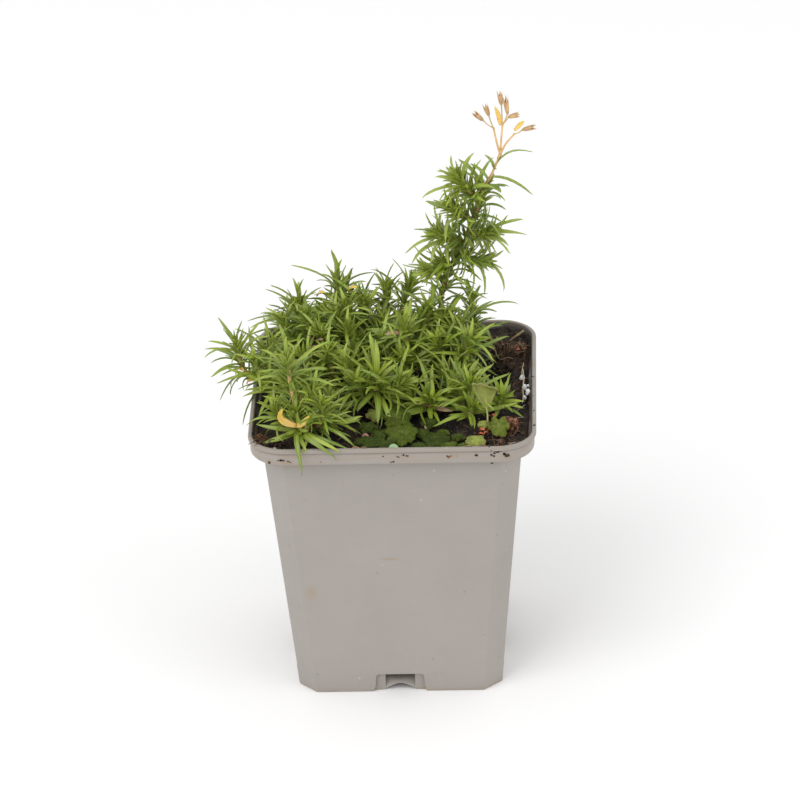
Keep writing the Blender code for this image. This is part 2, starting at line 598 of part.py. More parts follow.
# The leafy stems, in the order in which they take their room. Each has its main stem first and then
# its side branches. Points and leaf tips are in millimetres.
LEAFY_STEMS = {
    "leafy_stem_front_left": [
        Twig([(-27.5, -32), (-28.5, -33, 96), (-30, -34, 105), (-31, -34, 113), (-31.5, -34, 119)],
             tips=[(-34, -32, 131.5), (-31, -36, 129), (-26, -31, 126), (-19, -38, 118), (-18, -31, 124),
                   (-42, -36, 122), (-19, -30, 114, 0.12), (-43, -31, 111, 0.12), (-24, -40, 117),
                   (-36, -42, 119)],
             leafy=11.0),
        Twig([(-28.4, -33, 95), (-29.4, -33.6, 99), (-29.6, -34.4, 101.5)],
             tips=[(-42, -38, 91.5, 0.1), (-40, -34, 98, 0.14), (-28, -50, 85.5, 0.62), (-27, -41, 91),
                   (-43, -30, 97), (-35, -24, 105), (-24, -38, 104), (-34, -41, 98)],
             leafy=6.0, thick=0.7, rooted=False),
    ],
    "leafy_stem_left": [
        Twig([(-36, -6), (-39, -5.5, 96), (-44, -5, 99.5), (-47, -5, 102), (-48.3, -5, 106), (-49, -5, 110.5)],
             tips=[(-47, -4, 119), (-53, -6, 117.5), (-58, -7, 113), (-60.5, -5, 106, 0.14),
                   (-46, -3, 114), (-38, -7, 115, 0.12), (-57, -3, 99), (-55, -9, 93), (-52, -1, 91, 0.12),
                   (-57.5, -10, 102)],
             leafy=17.0),
        Twig([(-40.5, -5.4, 97.5), (-42, -8, 102), (-42.6, -9.5, 106)], leafy=7.0, rooted=False),
    ],
    "leafy_stem_front_centre": [
        Twig([(-6.5, -11), (-6, -12, 95), (-5.4, -14, 99), (-5, -15.5, 103)],
             tips=[(-6.5, -10, 117.5), (-5, -15, 117), (-10, -12, 113.5), (-17, -13, 113), (-19, -16, 108),
                   (-16, -20, 102), (-11, -24, 96), (-5, -26, 94, 0.12), (0, -25, 91, 0.14),
                   (4.5, -17, 99), (6, -20, 98), (7, -12, 104.5), (2, -11, 107), (0.5, -17, 111),
                   (-9, -18, 112), (-12, -22, 106)],
             leafy=11.0),
    ],
    "tall_stem": [
        Twig([(12, 14), (13, 14.5, 100), (14.5, 15, 112), (16.5, 15, 121), (18.5, 15, 127.5),
              (22, 15, 134), (25, 15, 141), (27.5, 15, 147.5), (29, 15, 153), (31.8, 15, 158.5),
              (34.2, 15, 164.3)],
             tips=[(45, 13, 152.5, 0.1), (46, 14, 165, 0.22), (30, 16, 165.5), (35, 17, 152),
                   (36, 13, 161.5), (25, 19, 161)],
             leafy=55.0, bare=9.0, spacing=6.5, thick=0.95, swell=-0.35, reach=2.0),
        Twig([(28.4, 15, 150.5), (25, 14, 154), (21.8, 14, 158)],
             tips=[(15, 12, 162), (19.5, 15, 166), (26, 12, 167), (10, 13, 152, 0.12), (14, 18, 157),
                   (15.5, 10, 151)],
             leafy=9.0, rooted=False),
        Twig([(23, 15, 136), (19, 14, 137), (15.5, 13.5, 139)],
             tips=[(11, 14, 147), (7, 12, 142), (4, 14, 132.5, 0.13), (6, 17, 127.5, 0.13), (15.5, 16, 146)],
             leafy=9.0, rooted=False),
        Twig([(24.3, 15, 139), (27.5, 14, 139), (30.5, 13.5, 140)],
             tips=[(37, 14, 145.5), (42, 13, 144), (43, 15, 138), (37, 12, 135.5), (32, 14, 128),
                   (30, 15, 149)],
             leafy=8.0, rooted=False),
        Twig([(19, 15, 128.5), (16.5, 13.5, 128.6), (13.5, 12.5, 128)],
             tips=[(8, 14, 130.5), (3, 13, 129.5), (6, 11, 126.5), (10, 12, 123)],
             leafy=7.0, rooted=False),
        Twig([(21, 15, 132), (24.5, 14.2, 130.5), (27.5, 14, 130)],
             tips=[(35, 13, 127), (35, 12, 119.5, 0.25), (29, 13, 118, 0.14)],
             leafy=7.0, rooted=False),
    ],
    "leafy_stem_right": [
        Twig([(17, 4), (18, 4.5, 98), (19, 5, 104), (20, 5, 109)],
             tips=[(13, 4, 115.5), (14.5, 0, 107.5), (28, 0, 98, 0.12), (24, -2, 102), (30.5, 6, 109),
                   (31.5, 3, 107), (32, 0, 105), (20, 5, 118), (23, 1, 105), (32, 9, 118), (35, 7, 110)],
             leafy=18.0),
    ],
    "leafy_stem_left_top": [
        Twig([(-27, 12), (-28.5, 13.5, 99), (-29.5, 15, 107), (-30, 15, 114)],
             tips=[(-41, 16, 120), (-39, 13, 123), (-32, 16, 124), (-28, 14, 124.5), (-47, 13, 110),
                   (-46.5, 18, 105, 0.12), (-42, 20, 109)],
             leafy=22.0),
    ],
    "leafy_stem_centre": [
        Twig([(3, 3), (3.2, 2.5, 99), (3.8, 1, 107), (4, 0, 113)],
             tips=[(5, 1, 122), (0, -1, 121.5), (11, -1, 117), (-4, -5, 112), (-4, -8, 108.5, 0.13),
                   (12.5, -4, 108), (5, -8, 109, 0.13)],
             leafy=20.0),
    ],
    "leafy_stem_back_left": [
        Twig([(-15, 21), (-16, 22, 100), (-17.5, 24, 110), (-18, 25, 117.5)],
             tips=[(-19.4, 25, 129.5), (-33, 23, 125), (-16.5, 27, 125), (-14, 22, 121.5),
                   (-6, 25, 121, 0.13), (-8.5, 20, 120)],
             leafy=22.0),
    ],
    "leafy_stem_centre_back": [
        Twig([(8, 10), (9, 10, 99), (10.5, 10, 107), (11.4, 10, 114.5)],
             tips=[(12, 10, 126), (3.5, 8, 122), (17, 8, 121), (17, 5, 117)],
             leafy=21.0),
    ],
    "leafy_stem_mound": [
        Twig([(-23, 3), (-24.5, 5, 99), (-26.5, 7, 107), (-27.5, 8, 113)],
             tips=[(-19, 6, 109.5, 0.2), (-17, 8, 115, 0.16), (-20, 3, 108, 0.2), (-24, 6, 121),
                   (-24, 1, 115)],
             leafy=21.0),
    ],
    "leafy_stem_back_middle": [
        Twig([(-3, 24), (-3, 26, 100), (-3, 27.5, 107), (-2.7, 28, 112.5)],
             tips=[(-6, 28, 121.5), (0, 29, 122.5), (3.5, 28, 120), (-12, 27, 114), (-10, 24, 111)],
             leafy=20.0),
    ],
    "leafy_stem_front_low": [
        Twig([(11, -14), (11.4, -15.5, 93), (12, -17.5, 96.5)],
             tips=[(-1.5, -21, 92, 0.1), (5.5, -17, 101), (5.5, -20, 98.5), (7, -11, 110, 0.16),
                   (12, -24, 92), (17, -22, 99)],
             leafy=7.0),
    ],
    "leafy_stem_front_right": [
        Twig([(32.5, -13), (33, -14, 92), (34, -16, 95.5)],
             tips=[(31.5, -15, 103.5), (34, -17, 103.5), (37, -14, 100), (38, -17, 98), (41.5, -18, 96),
                   (41, -20, 94.5), (37.5, -22, 94), (29, -14, 99), (28, -20, 96)],
             leafy=6.5),
    ],
    "leafy_stem_right_low": [
        Twig([(21, -7), (21.8, -8, 94), (22.8, -9.5, 99)],
             tips=[(19, -9, 106), (16.5, -11, 104.5), (22.5, -7, 105), (28.5, -10, 100.5)],
             leafy=9.0),
    ],
    "leafy_stem_front_mid": [
        Twig([(23.5, -17), (24, -18.5, 92), (25, -20, 94.5)],
             tips=[(18.5, -20, 97), (20, -26, 93.5), (24.5, -28, 92.5), (13.5, -17, 99), (22, -19, 101),
                   (30, -24, 97)],
             leafy=6.0),
    ],
    "leafy_stem_right_back": [
        Twig([(24, 11), (24.5, 12, 98), (24.8, 13.5, 108), (24.8, 14, 115)],
             tips=[(28, 14, 118), (21.5, 13, 121), (30, 12, 112)],
             leafy=21.0),
    ],
    "leafy_stem_brush": [
        Twig([(-26, -26), (-25.5, -27.5, 93), (-23.5, -29.5, 95.3), (-20, -30.5, 96)],
             tips=[(-9.5, -31, 97.5), (-12.5, -34, 95), (-12, -28, 102), (-16, -29, 105.5), (-19, -30, 108.5),
                   (-11, -35, 94.5), (-14, -39, 93.5), (-9, -27, 96), (-15, -32, 101), (-20, -38, 99)],
             leafy=9.0),
    ],
    "leafy_stem_mid_left": [
        Twig([(-17, -5), (-18, -6, 97), (-19.5, -7, 103), (-20, -8, 107.5)],
             tips=[(-13, -12, 112), (-22, -17, 108)],
             leafy=17.0),
    ],
    "leafy_stem_middle": [
        Twig([(-9, 5), (-10, 5, 98), (-12, 5, 104), (-13.5, 5, 109.5)],
             tips=[(-8, 1, 116), (-15, 0, 117)],
             leafy=18.0),
    ],
    "leafy_stem_back_mid_left": [
        Twig([(-11, 13), (-12, 13.5, 99), (-14, 14, 107), (-15, 14, 113.5)],
             tips=[(-9, 12, 120)],
             leafy=20.0),
    ],
}


def make_copy(made):
    """A second object on a copy of the mesh."""
    again = bpy.data.objects.new(made.name + "_copy", made.data.copy())
    cutters.objects.link(again)
    return again


def make_leafy_stems(neighbours):
    """Every leafy stem, its leaves bent clear of what stands already and fused to it."""
    leaf_green = material("leaf_green", COLOURS["leaf"], 0.45)
    tubes = {}
    for name, twigs in LEAFY_STEMS.items():
        tubes[name] = []
        for number, twig in enumerate(twigs):
            tubes[name].append(tube("%s_%d" % (name, number), twig.path, stem_radii(twig)))
    for order, (name, twigs) in enumerate(LEAFY_STEMS.items()):
        rng = random.Random(100 + order)
        around = Neighbours()
        around.points = list(neighbours.points)
        around.faces = list(neighbours.faces)
        for other, stems in tubes.items():
            if other != name:
                for stem in stems:
                    around.add_object(stem)
        blades = []
        for twig in twigs:
            kept = set_leaves(twig)
            for shape in kept + grown_leaves(twig, kept, rng):
                settled = clear_needle(shape, around)
                if settled:
                    blades.append(needle(settled))
        for blade in blades:
            neighbours.add(blade)
        pieces = [cutter("%s_blade_%d" % (name, i), blade) for i, blade in enumerate(blades)]
        stem = bpy.data.objects.new(name, tubes[name][0].data.copy())
        plant_parts.objects.link(stem)
        combine(stem, pieces + [make_copy(branch) for branch in tubes[name][1:]], "UNION", "MANIFOLD")
        one_body(stem)
        stem.data.materials.clear()
        stem.data.materials.append(leaf_green)
    for stems in tubes.values():
        for stem in stems:
            bpy.data.objects.remove(stem, do_unlink=True)


def finish(made, colour_name, roughness=0.7):
    """Put a finished piece among the parts, in its own material."""
    for group in list(made.users_collection):
        group.objects.unlink(made)
    plant_parts.objects.link(made)
    made.hide_render = False
    made.display_type = "TEXTURED"
    made.data.materials.clear()
    made.data.materials.append(material(made.name + "_finish", COLOURS[colour_name], roughness))
    return made


# Seed head: straw-coloured branches from the tall stem's tip, each ending in dried calyces

CALYX_RADIUS = 0.85
HEAD_FOOT = Vector((34.4, 15.0, 164.9))
HEAD_FORK = Vector((34.9, 15.0, 166.0))
HEAD_BRANCHES = [
    # the branch's route above the fork, then each dried flower's foot and end
    ([(34.0, 14.7, 169.6), (33.0, 14.5, 175.2)],
     [((29.8, 13.5, 178.3), (26.9, 12.0, 181.7)), ((31.6, 15.5, 179.0), (30.3, 16.5, 182.6))]),
    ([(35.2, 15.1, 169.6), (35.8, 15.2, 176.0)],
     [((35.6, 16.5, 182.1), (35.0, 17.5, 186.4)), ((37.5, 14.0, 180.1), (36.8, 13.0, 186.7)),
      ((37.6, 15.9, 178.2), (41.2, 17.4, 178.4))]),
    ([(36.6, 14.8, 169.4), (39.5, 14.5, 173.1)],
     [((41.9, 14.0, 174.6), (46.2, 13.0, 176.1))]),
]


def calyx(base, tip):
    """A dried calyx: a five-sided spindle, narrow at its stalk and open at its end."""
    along = (tip - base).normalized()
    across = along.orthogonal().normalized()
    rings = []
    for share, wide in ((-0.04, 0.42), (0.5, 1.0), (1.0, 0.72)):
        ring = []
        for side in range(5):
            turn = Matrix.Rotation(math.tau * side / 5, 3, along)
            ring.append(base.lerp(tip, share) + turn @ across * CALYX_RADIUS * wide)
        rings.append(ring)
    return loft(rings)


def make_seed_head():
    """The branching straw and its six calyces, fused."""
    stub = tube("seed_head", [HEAD_FOOT, HEAD_FORK], [0.6, 0.62])
    pieces = []
    for number, (route, ends) in enumerate(HEAD_BRANCHES):
        route = [Vector(p) for p in route]
        start = HEAD_FORK - (route[0] - HEAD_FORK).normalized() * 0.2
        pieces.append(tube("branch_%d" % number, [start] + route, [0.5, 0.46, 0.42]))
        for side, (base, tip) in enumerate(ends):
            base = Vector(base)
            tip = Vector(tip)
            stalk = route[-1] - (base - route[-1]).normalized() * 0.15
            pieces.append(tube("stalk_%d_%d" % (number, side), [stalk, base.lerp(tip, 0.1)], [0.38, 0.36]))
            pieces.append(cutter("calyx_%d_%d" % (number, side), calyx(base, tip)))
    combine(stub, pieces, "UNION", "MANIFOLD")
    one_body(stub)
    return finish(stub, "straw")


# Single coloured leaves: yellow bracts, dying leaves and dry ones, each a thin keeled blade

SINGLE_LEAVES = {
    "bract_middle": ("yellow", 1.6, [(35.2, 13.9, 176.4), (34.4, 13.0, 180), (33.6, 12.5, 183.6)]),
    "bract_right": ("yellow", 1.4, [(39.4, 15.7, 173.6), (41.0, 15.8, 175.2), (42.7, 15.7, 176.8)]),
    "yellow_leaf_left": ("yellow", 1.9, [(-29.5, -35.2, 97.2), (-32.4, -36.2, 99), (-34.2, -36.8, 103.8)]),
    "yellow_leaf_right": ("yellow", 1.7, [(-28, -35.1, 97.2), (-26.8, -36, 98.6), (-25.4, -36.2, 101.4)]),
    "dry_leaf_centre": ("dry", 1.8, [(2.3, -0.8, 111.8), (0.3, -1.4, 112.6), (-2.4, -1.6, 112)]),
    "dry_leaf_front": ("dry", 1.9, [(13, -18, 94.3), (15.5, -18.9, 94), (19, -19.2, 93.4)]),
    "dry_leaf_back": ("dry", 1.7, [(11.6, 8.3, 110.4), (11.3, 6, 111.4), (9.6, 4.4, 111)]),
}


def make_single_leaf(name):
    """A blade of diamond section through three points, from its foot to its pointed tip."""
    colour_name, width, points = SINGLE_LEAVES[name]
    foot, middle, tip = [Vector(p) for p in points]
    rings = []
    for share, wide in ((0.0, 0.5), (0.35, 0.95), (0.7, 0.85), (0.97, 0.25)):
        near = foot.lerp(middle, share)
        far = middle.lerp(tip, share)
        place = near.lerp(far, share)
        along = (far - near).normalized()
        across = along.cross(Vector((0, -0.5, 0.86))).normalized()
        over = across.cross(along)
        half = width * wide / 2
        rings.append([place + across * half, place + over * 0.32, place - across * half,
                      place - over * 0.32])
    return finish(cutter(name, loft(rings)), colour_name)


# Seedling weeds: lobed leaves on short stalks that stand in the peat

SEEDLINGS = {
    # name: centre of the leaf, its half width and half depth, lobes, tilt towards the front in degrees
    "seedling_big": ((3.1, -32.2, 92.8), 5.1, 5.2, 7, 22),
    "seedling_left": ((-6.2, -36.0, 92.0), 4.2, 3.2, 6, 10),
    "seedling_dark": ((13.7, -35.2, 92.2), 4.5, 4.2, 6, 14),
    "seedling_small": ((20.7, -33.6, 91.8), 2.3, 2.4, 5, 8),
    "seedling_light": ((26.0, -38.6, 92.2), 3.0, 2.5, 5, 18),
    "seedling_right": ((33.3, -31.4, 93.6), 3.3, 4.0, 6, 36),
    "seedling_grey": ((1.4, -16.2, 94.4), 3.4, 3.6, 6, 30),
}
SEEDLING_THICK = 0.7
STALK_BEHIND = 2.2      # a seedling's stalk comes out of the peat this far behind its leaf's middle


def lobed_outline(half_width, half_depth, lobes):
    """Points round a leaf whose edge swells into rounded lobes, with a notch at its stalk (+Y)."""
    count = lobes * 3
    points = []
    for step in range(count):
        angle = math.tau * step / count + math.pi / 2
        lobe = 1.0 + 0.09 * math.cos(lobes * (angle - math.pi / 2) + math.pi)
        notch = 1.0 - 0.45 * math.exp(-((step if step < count / 2 else step - count) / 1.1) ** 2)
        points.append((half_width * lobe * notch * math.cos(angle),
                       half_depth * lobe * notch * math.sin(angle)))
    return points


def make_seedling(name):
    """A domed lobed leaf, thickened by Solidify and fused to its stalk."""
    centre, half_width, half_depth, lobes, tilt = SEEDLINGS[name]
    built = bmesh.new()
    middle = built.verts.new((0, 0, 0.5))
    edge = [built.verts.new((x, y, 0.0)) for x, y in lobed_outline(half_width, half_depth, lobes)]
    for first, second in zip(edge, edge[1:] + edge[:1]):
        built.faces.new((first, second, middle))
    place = Matrix.Translation(centre) @ Matrix.Rotation(math.radians(tilt), 4, "X")
    bmesh.ops.transform(built, matrix=place, verts=built.verts)
    leaf_sheet = cutter(name, built)
    thicken = leaf_sheet.modifiers.new("thickness", "SOLIDIFY")
    thicken.thickness = SEEDLING_THICK
    thicken.offset = -1.0
    settle_modifiers(leaf_sheet)
    x, y, z = centre
    behind = y + STALK_BEHIND
    level = ground(x, behind)
    route = [Vector((x, behind, level - STEM_DEPTH)), Vector((x, behind, level + 0.2)), Vector((x, y, z + 0.2))]
    stalk = tube(name + "_stalk", route, [STALK_RADIUS] * 3)
    combine(leaf_sheet, [stalk], "UNION", "MANIFOLD")
    one_body(leaf_sheet)
    return finish(leaf_sheet, "seedling")


# The wilted leaf: a fan on a thin stalk, its upper edge fallen forward

WILTED_STALK = [(29.5, -26.4), (29.6, -26.2, 91.5), (29.7, -25, 94.4), (29.4, -23.6, 97)]
WILTED_ROWS = [
    # height, half width, shift to the right, shift to the back
    (96.6, 0.5, 29.4, -23.7),
    (99.0, 2.6, 29.3, -23.0),
    (101.8, 4.0, 29.1, -22.8),
    (104.2, 4.1, 28.9, -23.4),
    (104.6, 3.6, 28.4, -25.0),
]


def make_wilted_leaf():
    """The fan as a sheet thickened by Solidify, fused to its stalk."""
    built = bmesh.new()
    rows = []
    for height, half, right, back in WILTED_ROWS:
        row = []
        for step in range(5):
            share = step / 2 - 1
            droop = 0.7 * share * share * half / 4
            row.append(built.verts.new((right + half * share, back + droop, height - droop)))
        rows.append(row)
    for lower, upper in zip(rows, rows[1:]):
        for i in range(4):
            built.faces.new((lower[i], lower[i + 1], upper[i + 1], upper[i]))
    fan = cutter("wilted_leaf", built)
    thicken = fan.modifiers.new("thickness", "SOLIDIFY")
    thicken.thickness = SEEDLING_THICK
    thicken.offset = 0.0
    settle_modifiers(fan)
    x, y = WILTED_STALK[0]
    foot = Vector((x, y, ground(x, y) - STEM_DEPTH))
    route = [foot] + [Vector(p) for p in WILTED_STALK[1:]]
    stalk = tube("wilted_stalk", route, [STALK_RADIUS] * len(route))
    combine(fan, [stalk], "UNION", "MANIFOLD")
    one_body(fan)
    return finish(fan, "wilted")


# Things lying on the peat

LUMPS = {
    # name: colour, x, y, half sizes, roughness of the form, rootlets
    "root_clump_back": ("fibre", 39.4, 26.4, (2.4, 2.9, 2.2), 0.22, 5),
    "root_clump_front": ("fibre", 37.4, -26.0, (1.8, 1.8, 1.6), 0.2, 3),
    "grit_stone": ("stone", -8.4, -31.4, (1.1, 1.1, 0.9), 0.08, 0),
    "pale_grain": ("grain", 0.7, -40.9, (1.6, 1.4, 1.6), 0.03, 0),
    "perlite_back": ("perlite", 40.4, 8.0, (0.9, 0.9, 0.8), 0.14, 0),
    "perlite_front": ("perlite", 41.2, 1.0, (0.8, 1.0, 0.9), 0.14, 0),
}


def make_lump(name):
    """A rough ball on the peat, with a few root ends standing out of a clump."""
    colour_name, x, y, half_sizes, rough, rootlets = LUMPS[name]
    rng = random.Random(name)
    built = bmesh.new()
    bmesh.ops.create_icosphere(built, subdivisions=2 if max(half_sizes) > 1.2 else 1, radius=1.0)
    for vertex in built.verts:
        vertex.co *= 1.0 + rng.uniform(-rough, rough)
    bmesh.ops.scale(built, vec=half_sizes, verts=built.verts)
    low = min(v.co.z for v in built.verts)
    lift = ground(x, y) + GAP * 1.5 - low
    bmesh.ops.translate(built, vec=(x, y, lift), verts=built.verts)
    lump = cutter(name, built)
    if rootlets:
        roots = []
        for number in range(rootlets):
            angle = rng.uniform(0, math.tau)
            heading = Vector((math.cos(angle) - 0.3, math.sin(angle), rng.uniform(0.2, 0.8))).normalized()
            start = Vector((x, y, lift))
            shape = leaf(start, start + heading * max(half_sizes) * 1.75, Vector((0, 0, 1)), 0.15, 0.8)
            roots.append(cutter("%s_%d" % (name, number), needle(shape)))
        combine(lump, roots, "UNION", "MANIFOLD")
        one_body(lump)
    return finish(lump, colour_name)


TWIG_FOOT = (35.6, 33.6)
TWIG_ROUTE = [(38, 34.8, 92.2), (40.9, 36.4, 93.7)]


def make_twig():
    """A dry twig that leans on the rim's back right corner."""
    x, y = TWIG_FOOT
    route = [Vector((x, y, ground(x, y) + 0.5 + GAP))] + [Vector(p) for p in TWIG_ROUTE]
    return finish(tube("dry_twig", route, [0.5, 0.45, 0.4]), "dry")


def stem_holes():
    """Place and radius of everything that stands in the peat."""
    holes = [(twig.path[0].x, twig.path[0].y, twig.thick)
             for twigs in LEAFY_STEMS.values() for twig in twigs if twig.rooted]
    holes += [(centre[0], centre[1] + STALK_BEHIND, STALK_RADIUS) for centre, *_ in SEEDLINGS.values()]
    holes.append((*WILTED_STALK[0], STALK_RADIUS))
    return holes


pot = make_pot()
soil = make_soil(stem_holes())
standing = Neighbours()
standing.add_object(pot)
standing.add_object(soil)
small_pieces = [make_seed_head(), make_wilted_leaf(), make_twig()]
small_pieces += [make_single_leaf(name) for name in SINGLE_LEAVES]
small_pieces += [make_seedling(name) for name in SEEDLINGS]
small_pieces += [make_lump(name) for name in LUMPS]
for piece in small_pieces:
    standing.add_object(piece)
make_leafy_stems(standing)
for finished in plant_parts.objects:
    finished.data.transform(Matrix.Scale(MM, 4))
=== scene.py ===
import math
import random

import bmesh
import bpy
from mathutils import Matrix, Vector, noise


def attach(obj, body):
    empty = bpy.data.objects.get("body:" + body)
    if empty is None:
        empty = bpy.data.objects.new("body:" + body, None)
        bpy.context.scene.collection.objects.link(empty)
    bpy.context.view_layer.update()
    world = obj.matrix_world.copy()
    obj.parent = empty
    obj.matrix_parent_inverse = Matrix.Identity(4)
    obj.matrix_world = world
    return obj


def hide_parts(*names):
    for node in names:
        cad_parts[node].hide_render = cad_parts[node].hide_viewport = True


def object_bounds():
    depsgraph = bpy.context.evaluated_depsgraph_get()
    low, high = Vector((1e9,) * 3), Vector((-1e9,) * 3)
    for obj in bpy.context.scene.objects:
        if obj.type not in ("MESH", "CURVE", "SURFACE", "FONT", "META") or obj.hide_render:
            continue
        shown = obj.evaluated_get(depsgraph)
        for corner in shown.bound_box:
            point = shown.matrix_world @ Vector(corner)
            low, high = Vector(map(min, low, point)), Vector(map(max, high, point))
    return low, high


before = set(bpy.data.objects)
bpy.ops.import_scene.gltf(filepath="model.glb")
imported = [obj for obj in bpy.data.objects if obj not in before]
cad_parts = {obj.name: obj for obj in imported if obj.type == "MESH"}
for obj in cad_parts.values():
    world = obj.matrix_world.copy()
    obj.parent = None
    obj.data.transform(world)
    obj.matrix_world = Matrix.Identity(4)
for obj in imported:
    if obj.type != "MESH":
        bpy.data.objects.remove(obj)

# A creeping phlox in a square nursery pot. All places and sizes below are in millimetres, turned into
# metres as each mesh is made. +Z is up, and -Y is the side that the low shoots lean to.
MM = 0.001
cad_box = [[float(value) for value in corner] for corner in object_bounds()]


# Pot: one thin-walled injection moulding in warm taupe-grey plastic, a square taper with cut corners.
# A stepped band with a thicker lip stiffens its mouth, and each side has a drain notch at its foot: a
# shallow recess, a slot through the wall and an arch under the edge.

POT_HEIGHT = 93.8
FOOT_HALF = 32.5            # half the width of the foot
FOOT_CUT = 5.8              # leg of the cut corner at the foot
SHOULDER_Z = 87.4           # where the tapered body meets the rim band
SHOULDER_HALF = 40.3
SHOULDER_CUT = 6.3
BAND_HALF = 44.3
RIM_HALF = 44.9
RIM_CORNER = 12.0           # corner radius of the rim
POT_WALL = 1.0
RIM_WALL = 1.4
POT_FLOOR = 1.3
CORNER_POINTS = 10          # points round each corner of a level
SOFT_EDGE = 1.1             # radius between a side and its cut corner
RECESS_DEPTH = 1.2
RECESS_OUTLINE = [(-8.6, -1), (8.6, -1), (8.35, 0.8), (7.95, 2.2), (7.75, 4.0), (7.65, 5.7), (7.45, 6.35),
                  (6.9, 6.7), (-6.9, 6.7), (-7.45, 6.35), (-7.65, 5.7), (-7.75, 4.0), (-7.95, 2.2),
                  (-8.35, 0.8)]
SLOT_HALF = 4.7
SLOT_TOP = 6.6
SLOT_REACH = 5.0            # the slot's floor is a ramp that climbs inwards this far from the foot's edge
RAMP_TOP = 5.5
RAMP_LIP = 0.35             # plastic left between the arch and the ramp's front edge
ARCH_HALF = 6.9
ARCH_HEIGHT = 2.6
ARCH_REACH = 6.0            # how far the arch runs in under the floor
PLASTIC = (0.333, 0.303, 0.277)
PLASTIC_SCUFF = (0.46, 0.43, 0.40)
PLASTIC_RUBBED = (0.255, 0.228, 0.203)
# dried soil, also used as painted shade inside the drain slots
DRIED_SOIL_AND_SHADE = (0.060, 0.040, 0.026)
CLAY_STAIN = (0.33, 0.23, 0.12)
# grey-brown of a dirt film, also used as the painted shade under the lip and the band
PLASTIC_GRIME_AND_SHADE = (0.150, 0.128, 0.108)
# grey-purple of a soil film, also used as painted shade on the inner rim wall
SOIL_FILM_AND_SHADE = (0.145, 0.122, 0.122)
# low, high, strength: painted shade in the grooves under the lip and under the band, and a thin dirt film over the lip
# and the band
SHADE_AND_DIRT_LINES = [(92.0, 92.35, 0.5), (87.2, 88.0, 0.55), (92.4, 94.2, 0.14), (88.4, 91.9, 0.05)]
STAIN_SPOTS = [
    # place, reach along the face and reach up it
    (-1.8, -37.4, 50.7, 4.4, 0.7), (-27.9, -39.6, 73.6, 1.3, 1.5), (-15.5, -39.9, 79.2, 0.9, 1.0),
    (-20.2, -39.9, 83.0, 1.6, 0.7), (33.2, -38.6, 11.5, 1.0, 1.6), (-27.0, -36.0, 38.0, 2.6, 4.0),
    (-32.6, -44.3, 89.4, 2.6, 0.9), (-32.0, -40.6, 86.6, 2.4, 1.0), (5.4, -44.3, 91.0, 2.0, 0.7),
    (26.6, -44.3, 90.9, 1.4, 0.8), (33.6, -44.3, 91.6, 3.0, 0.8), (31.4, -40.6, 86.6, 1.8, 0.8),
    (-4.2, -44.3, 87.9, 2.6, 0.6), (18.6, -44.3, 90.4, 1.2, 0.8),
]


def add(tree, kind, inputs=None, **settings):
    """A shader node with its settings and inputs, each input given a value or another node's output."""
    made = tree.nodes.new(kind)
    for key, value in settings.items():
        setattr(made, key, value)
    for key, value in (inputs or {}).items():
        if isinstance(value, bpy.types.NodeSocket):
            tree.links.new(value, made.inputs[key])
        elif isinstance(value, tuple) and len(value) == 3 and made.inputs[key].type == "RGBA":
            made.inputs[key].default_value = (*value, 1.0)
        else:
            made.inputs[key].default_value = value
    return made


def mixed(tree, factor, first, second, blend="MIX"):
    """Two colours mixed by a factor."""
    made = tree.nodes.new("ShaderNodeMix")
    made.data_type = "RGBA"
    made.blend_type = blend
    for index, value in ((0, factor), (6, first), (7, second)):
        if isinstance(value, bpy.types.NodeSocket):
            tree.links.new(value, made.inputs[index])
        elif isinstance(value, tuple):
            made.inputs[index].default_value = (*value, 1.0)
        else:
            made.inputs[index].default_value = value
    return made.outputs[2]


def maths(tree, operation, first, second=0.0, clamp=False):
    """The output of one Math node."""
    return add(tree, "ShaderNodeMath", {0: first, 1: second}, operation=operation, use_clamp=clamp).outputs[0]


def ranged(tree, value, low, high, to_low=0.0, to_high=1.0):
    """A value carried from one range to another, and held within it."""
    inputs = {"Value": value, "From Min": low, "From Max": high, "To Min": to_low, "To Max": to_high}
    return add(tree, "ShaderNodeMapRange", inputs).outputs[0]


def shader_group(name, given, made):
    """An empty node group with named sockets, its inputs' outputs and its outputs' inputs."""
    tree = bpy.data.node_groups.new(name, "ShaderNodeTree")
    for label, kind, start in given:
        tree.interface.new_socket(name=label, in_out="INPUT", socket_type=kind).default_value = start
    for label, kind in made:
        tree.interface.new_socket(name=label, in_out="OUTPUT", socket_type=kind)
    return tree, tree.nodes.new("NodeGroupInput").outputs, tree.nodes.new("NodeGroupOutput").inputs


def uneven_group():
    """Soft unevenness: a colour made lighter and darker in patches, and a grain to bump with."""
    tree, given, made = shader_group(
        "unevenness",
        [("Color", "NodeSocketColor", (1, 1, 1, 1)), ("Patch", "NodeSocketFloat", 60.0),
         ("Spread", "NodeSocketFloat", 0.1), ("Grain", "NodeSocketFloat", 900.0)],
        [("Color", "NodeSocketColor"), ("Patches", "NodeSocketFloat"), ("Height", "NodeSocketFloat")])
    place = add(tree, "ShaderNodeTexCoord").outputs["Object"]
    patches = add(tree, "ShaderNodeTexNoise", {"Vector": place, "Scale": given["Patch"], "Detail": 5.0,
                                               "Roughness": 0.62}).outputs[0]
    fine = add(tree, "ShaderNodeTexNoise", {"Vector": place, "Scale": given["Grain"], "Detail": 3.0}).outputs[0]
    swing = maths(tree, "MULTIPLY", ranged(tree, patches, 0.3, 0.7, -1.0, 1.0), given["Spread"])
    scaled = add(tree, "ShaderNodeVectorMath", {0: given["Color"], "Scale": maths(tree, "ADD", swing, 1.0)},
                 operation="SCALE")
    tree.links.new(scaled.outputs[0], made["Color"])
    tree.links.new(patches, made["Patches"])
    tree.links.new(fine, made["Height"])
    return tree


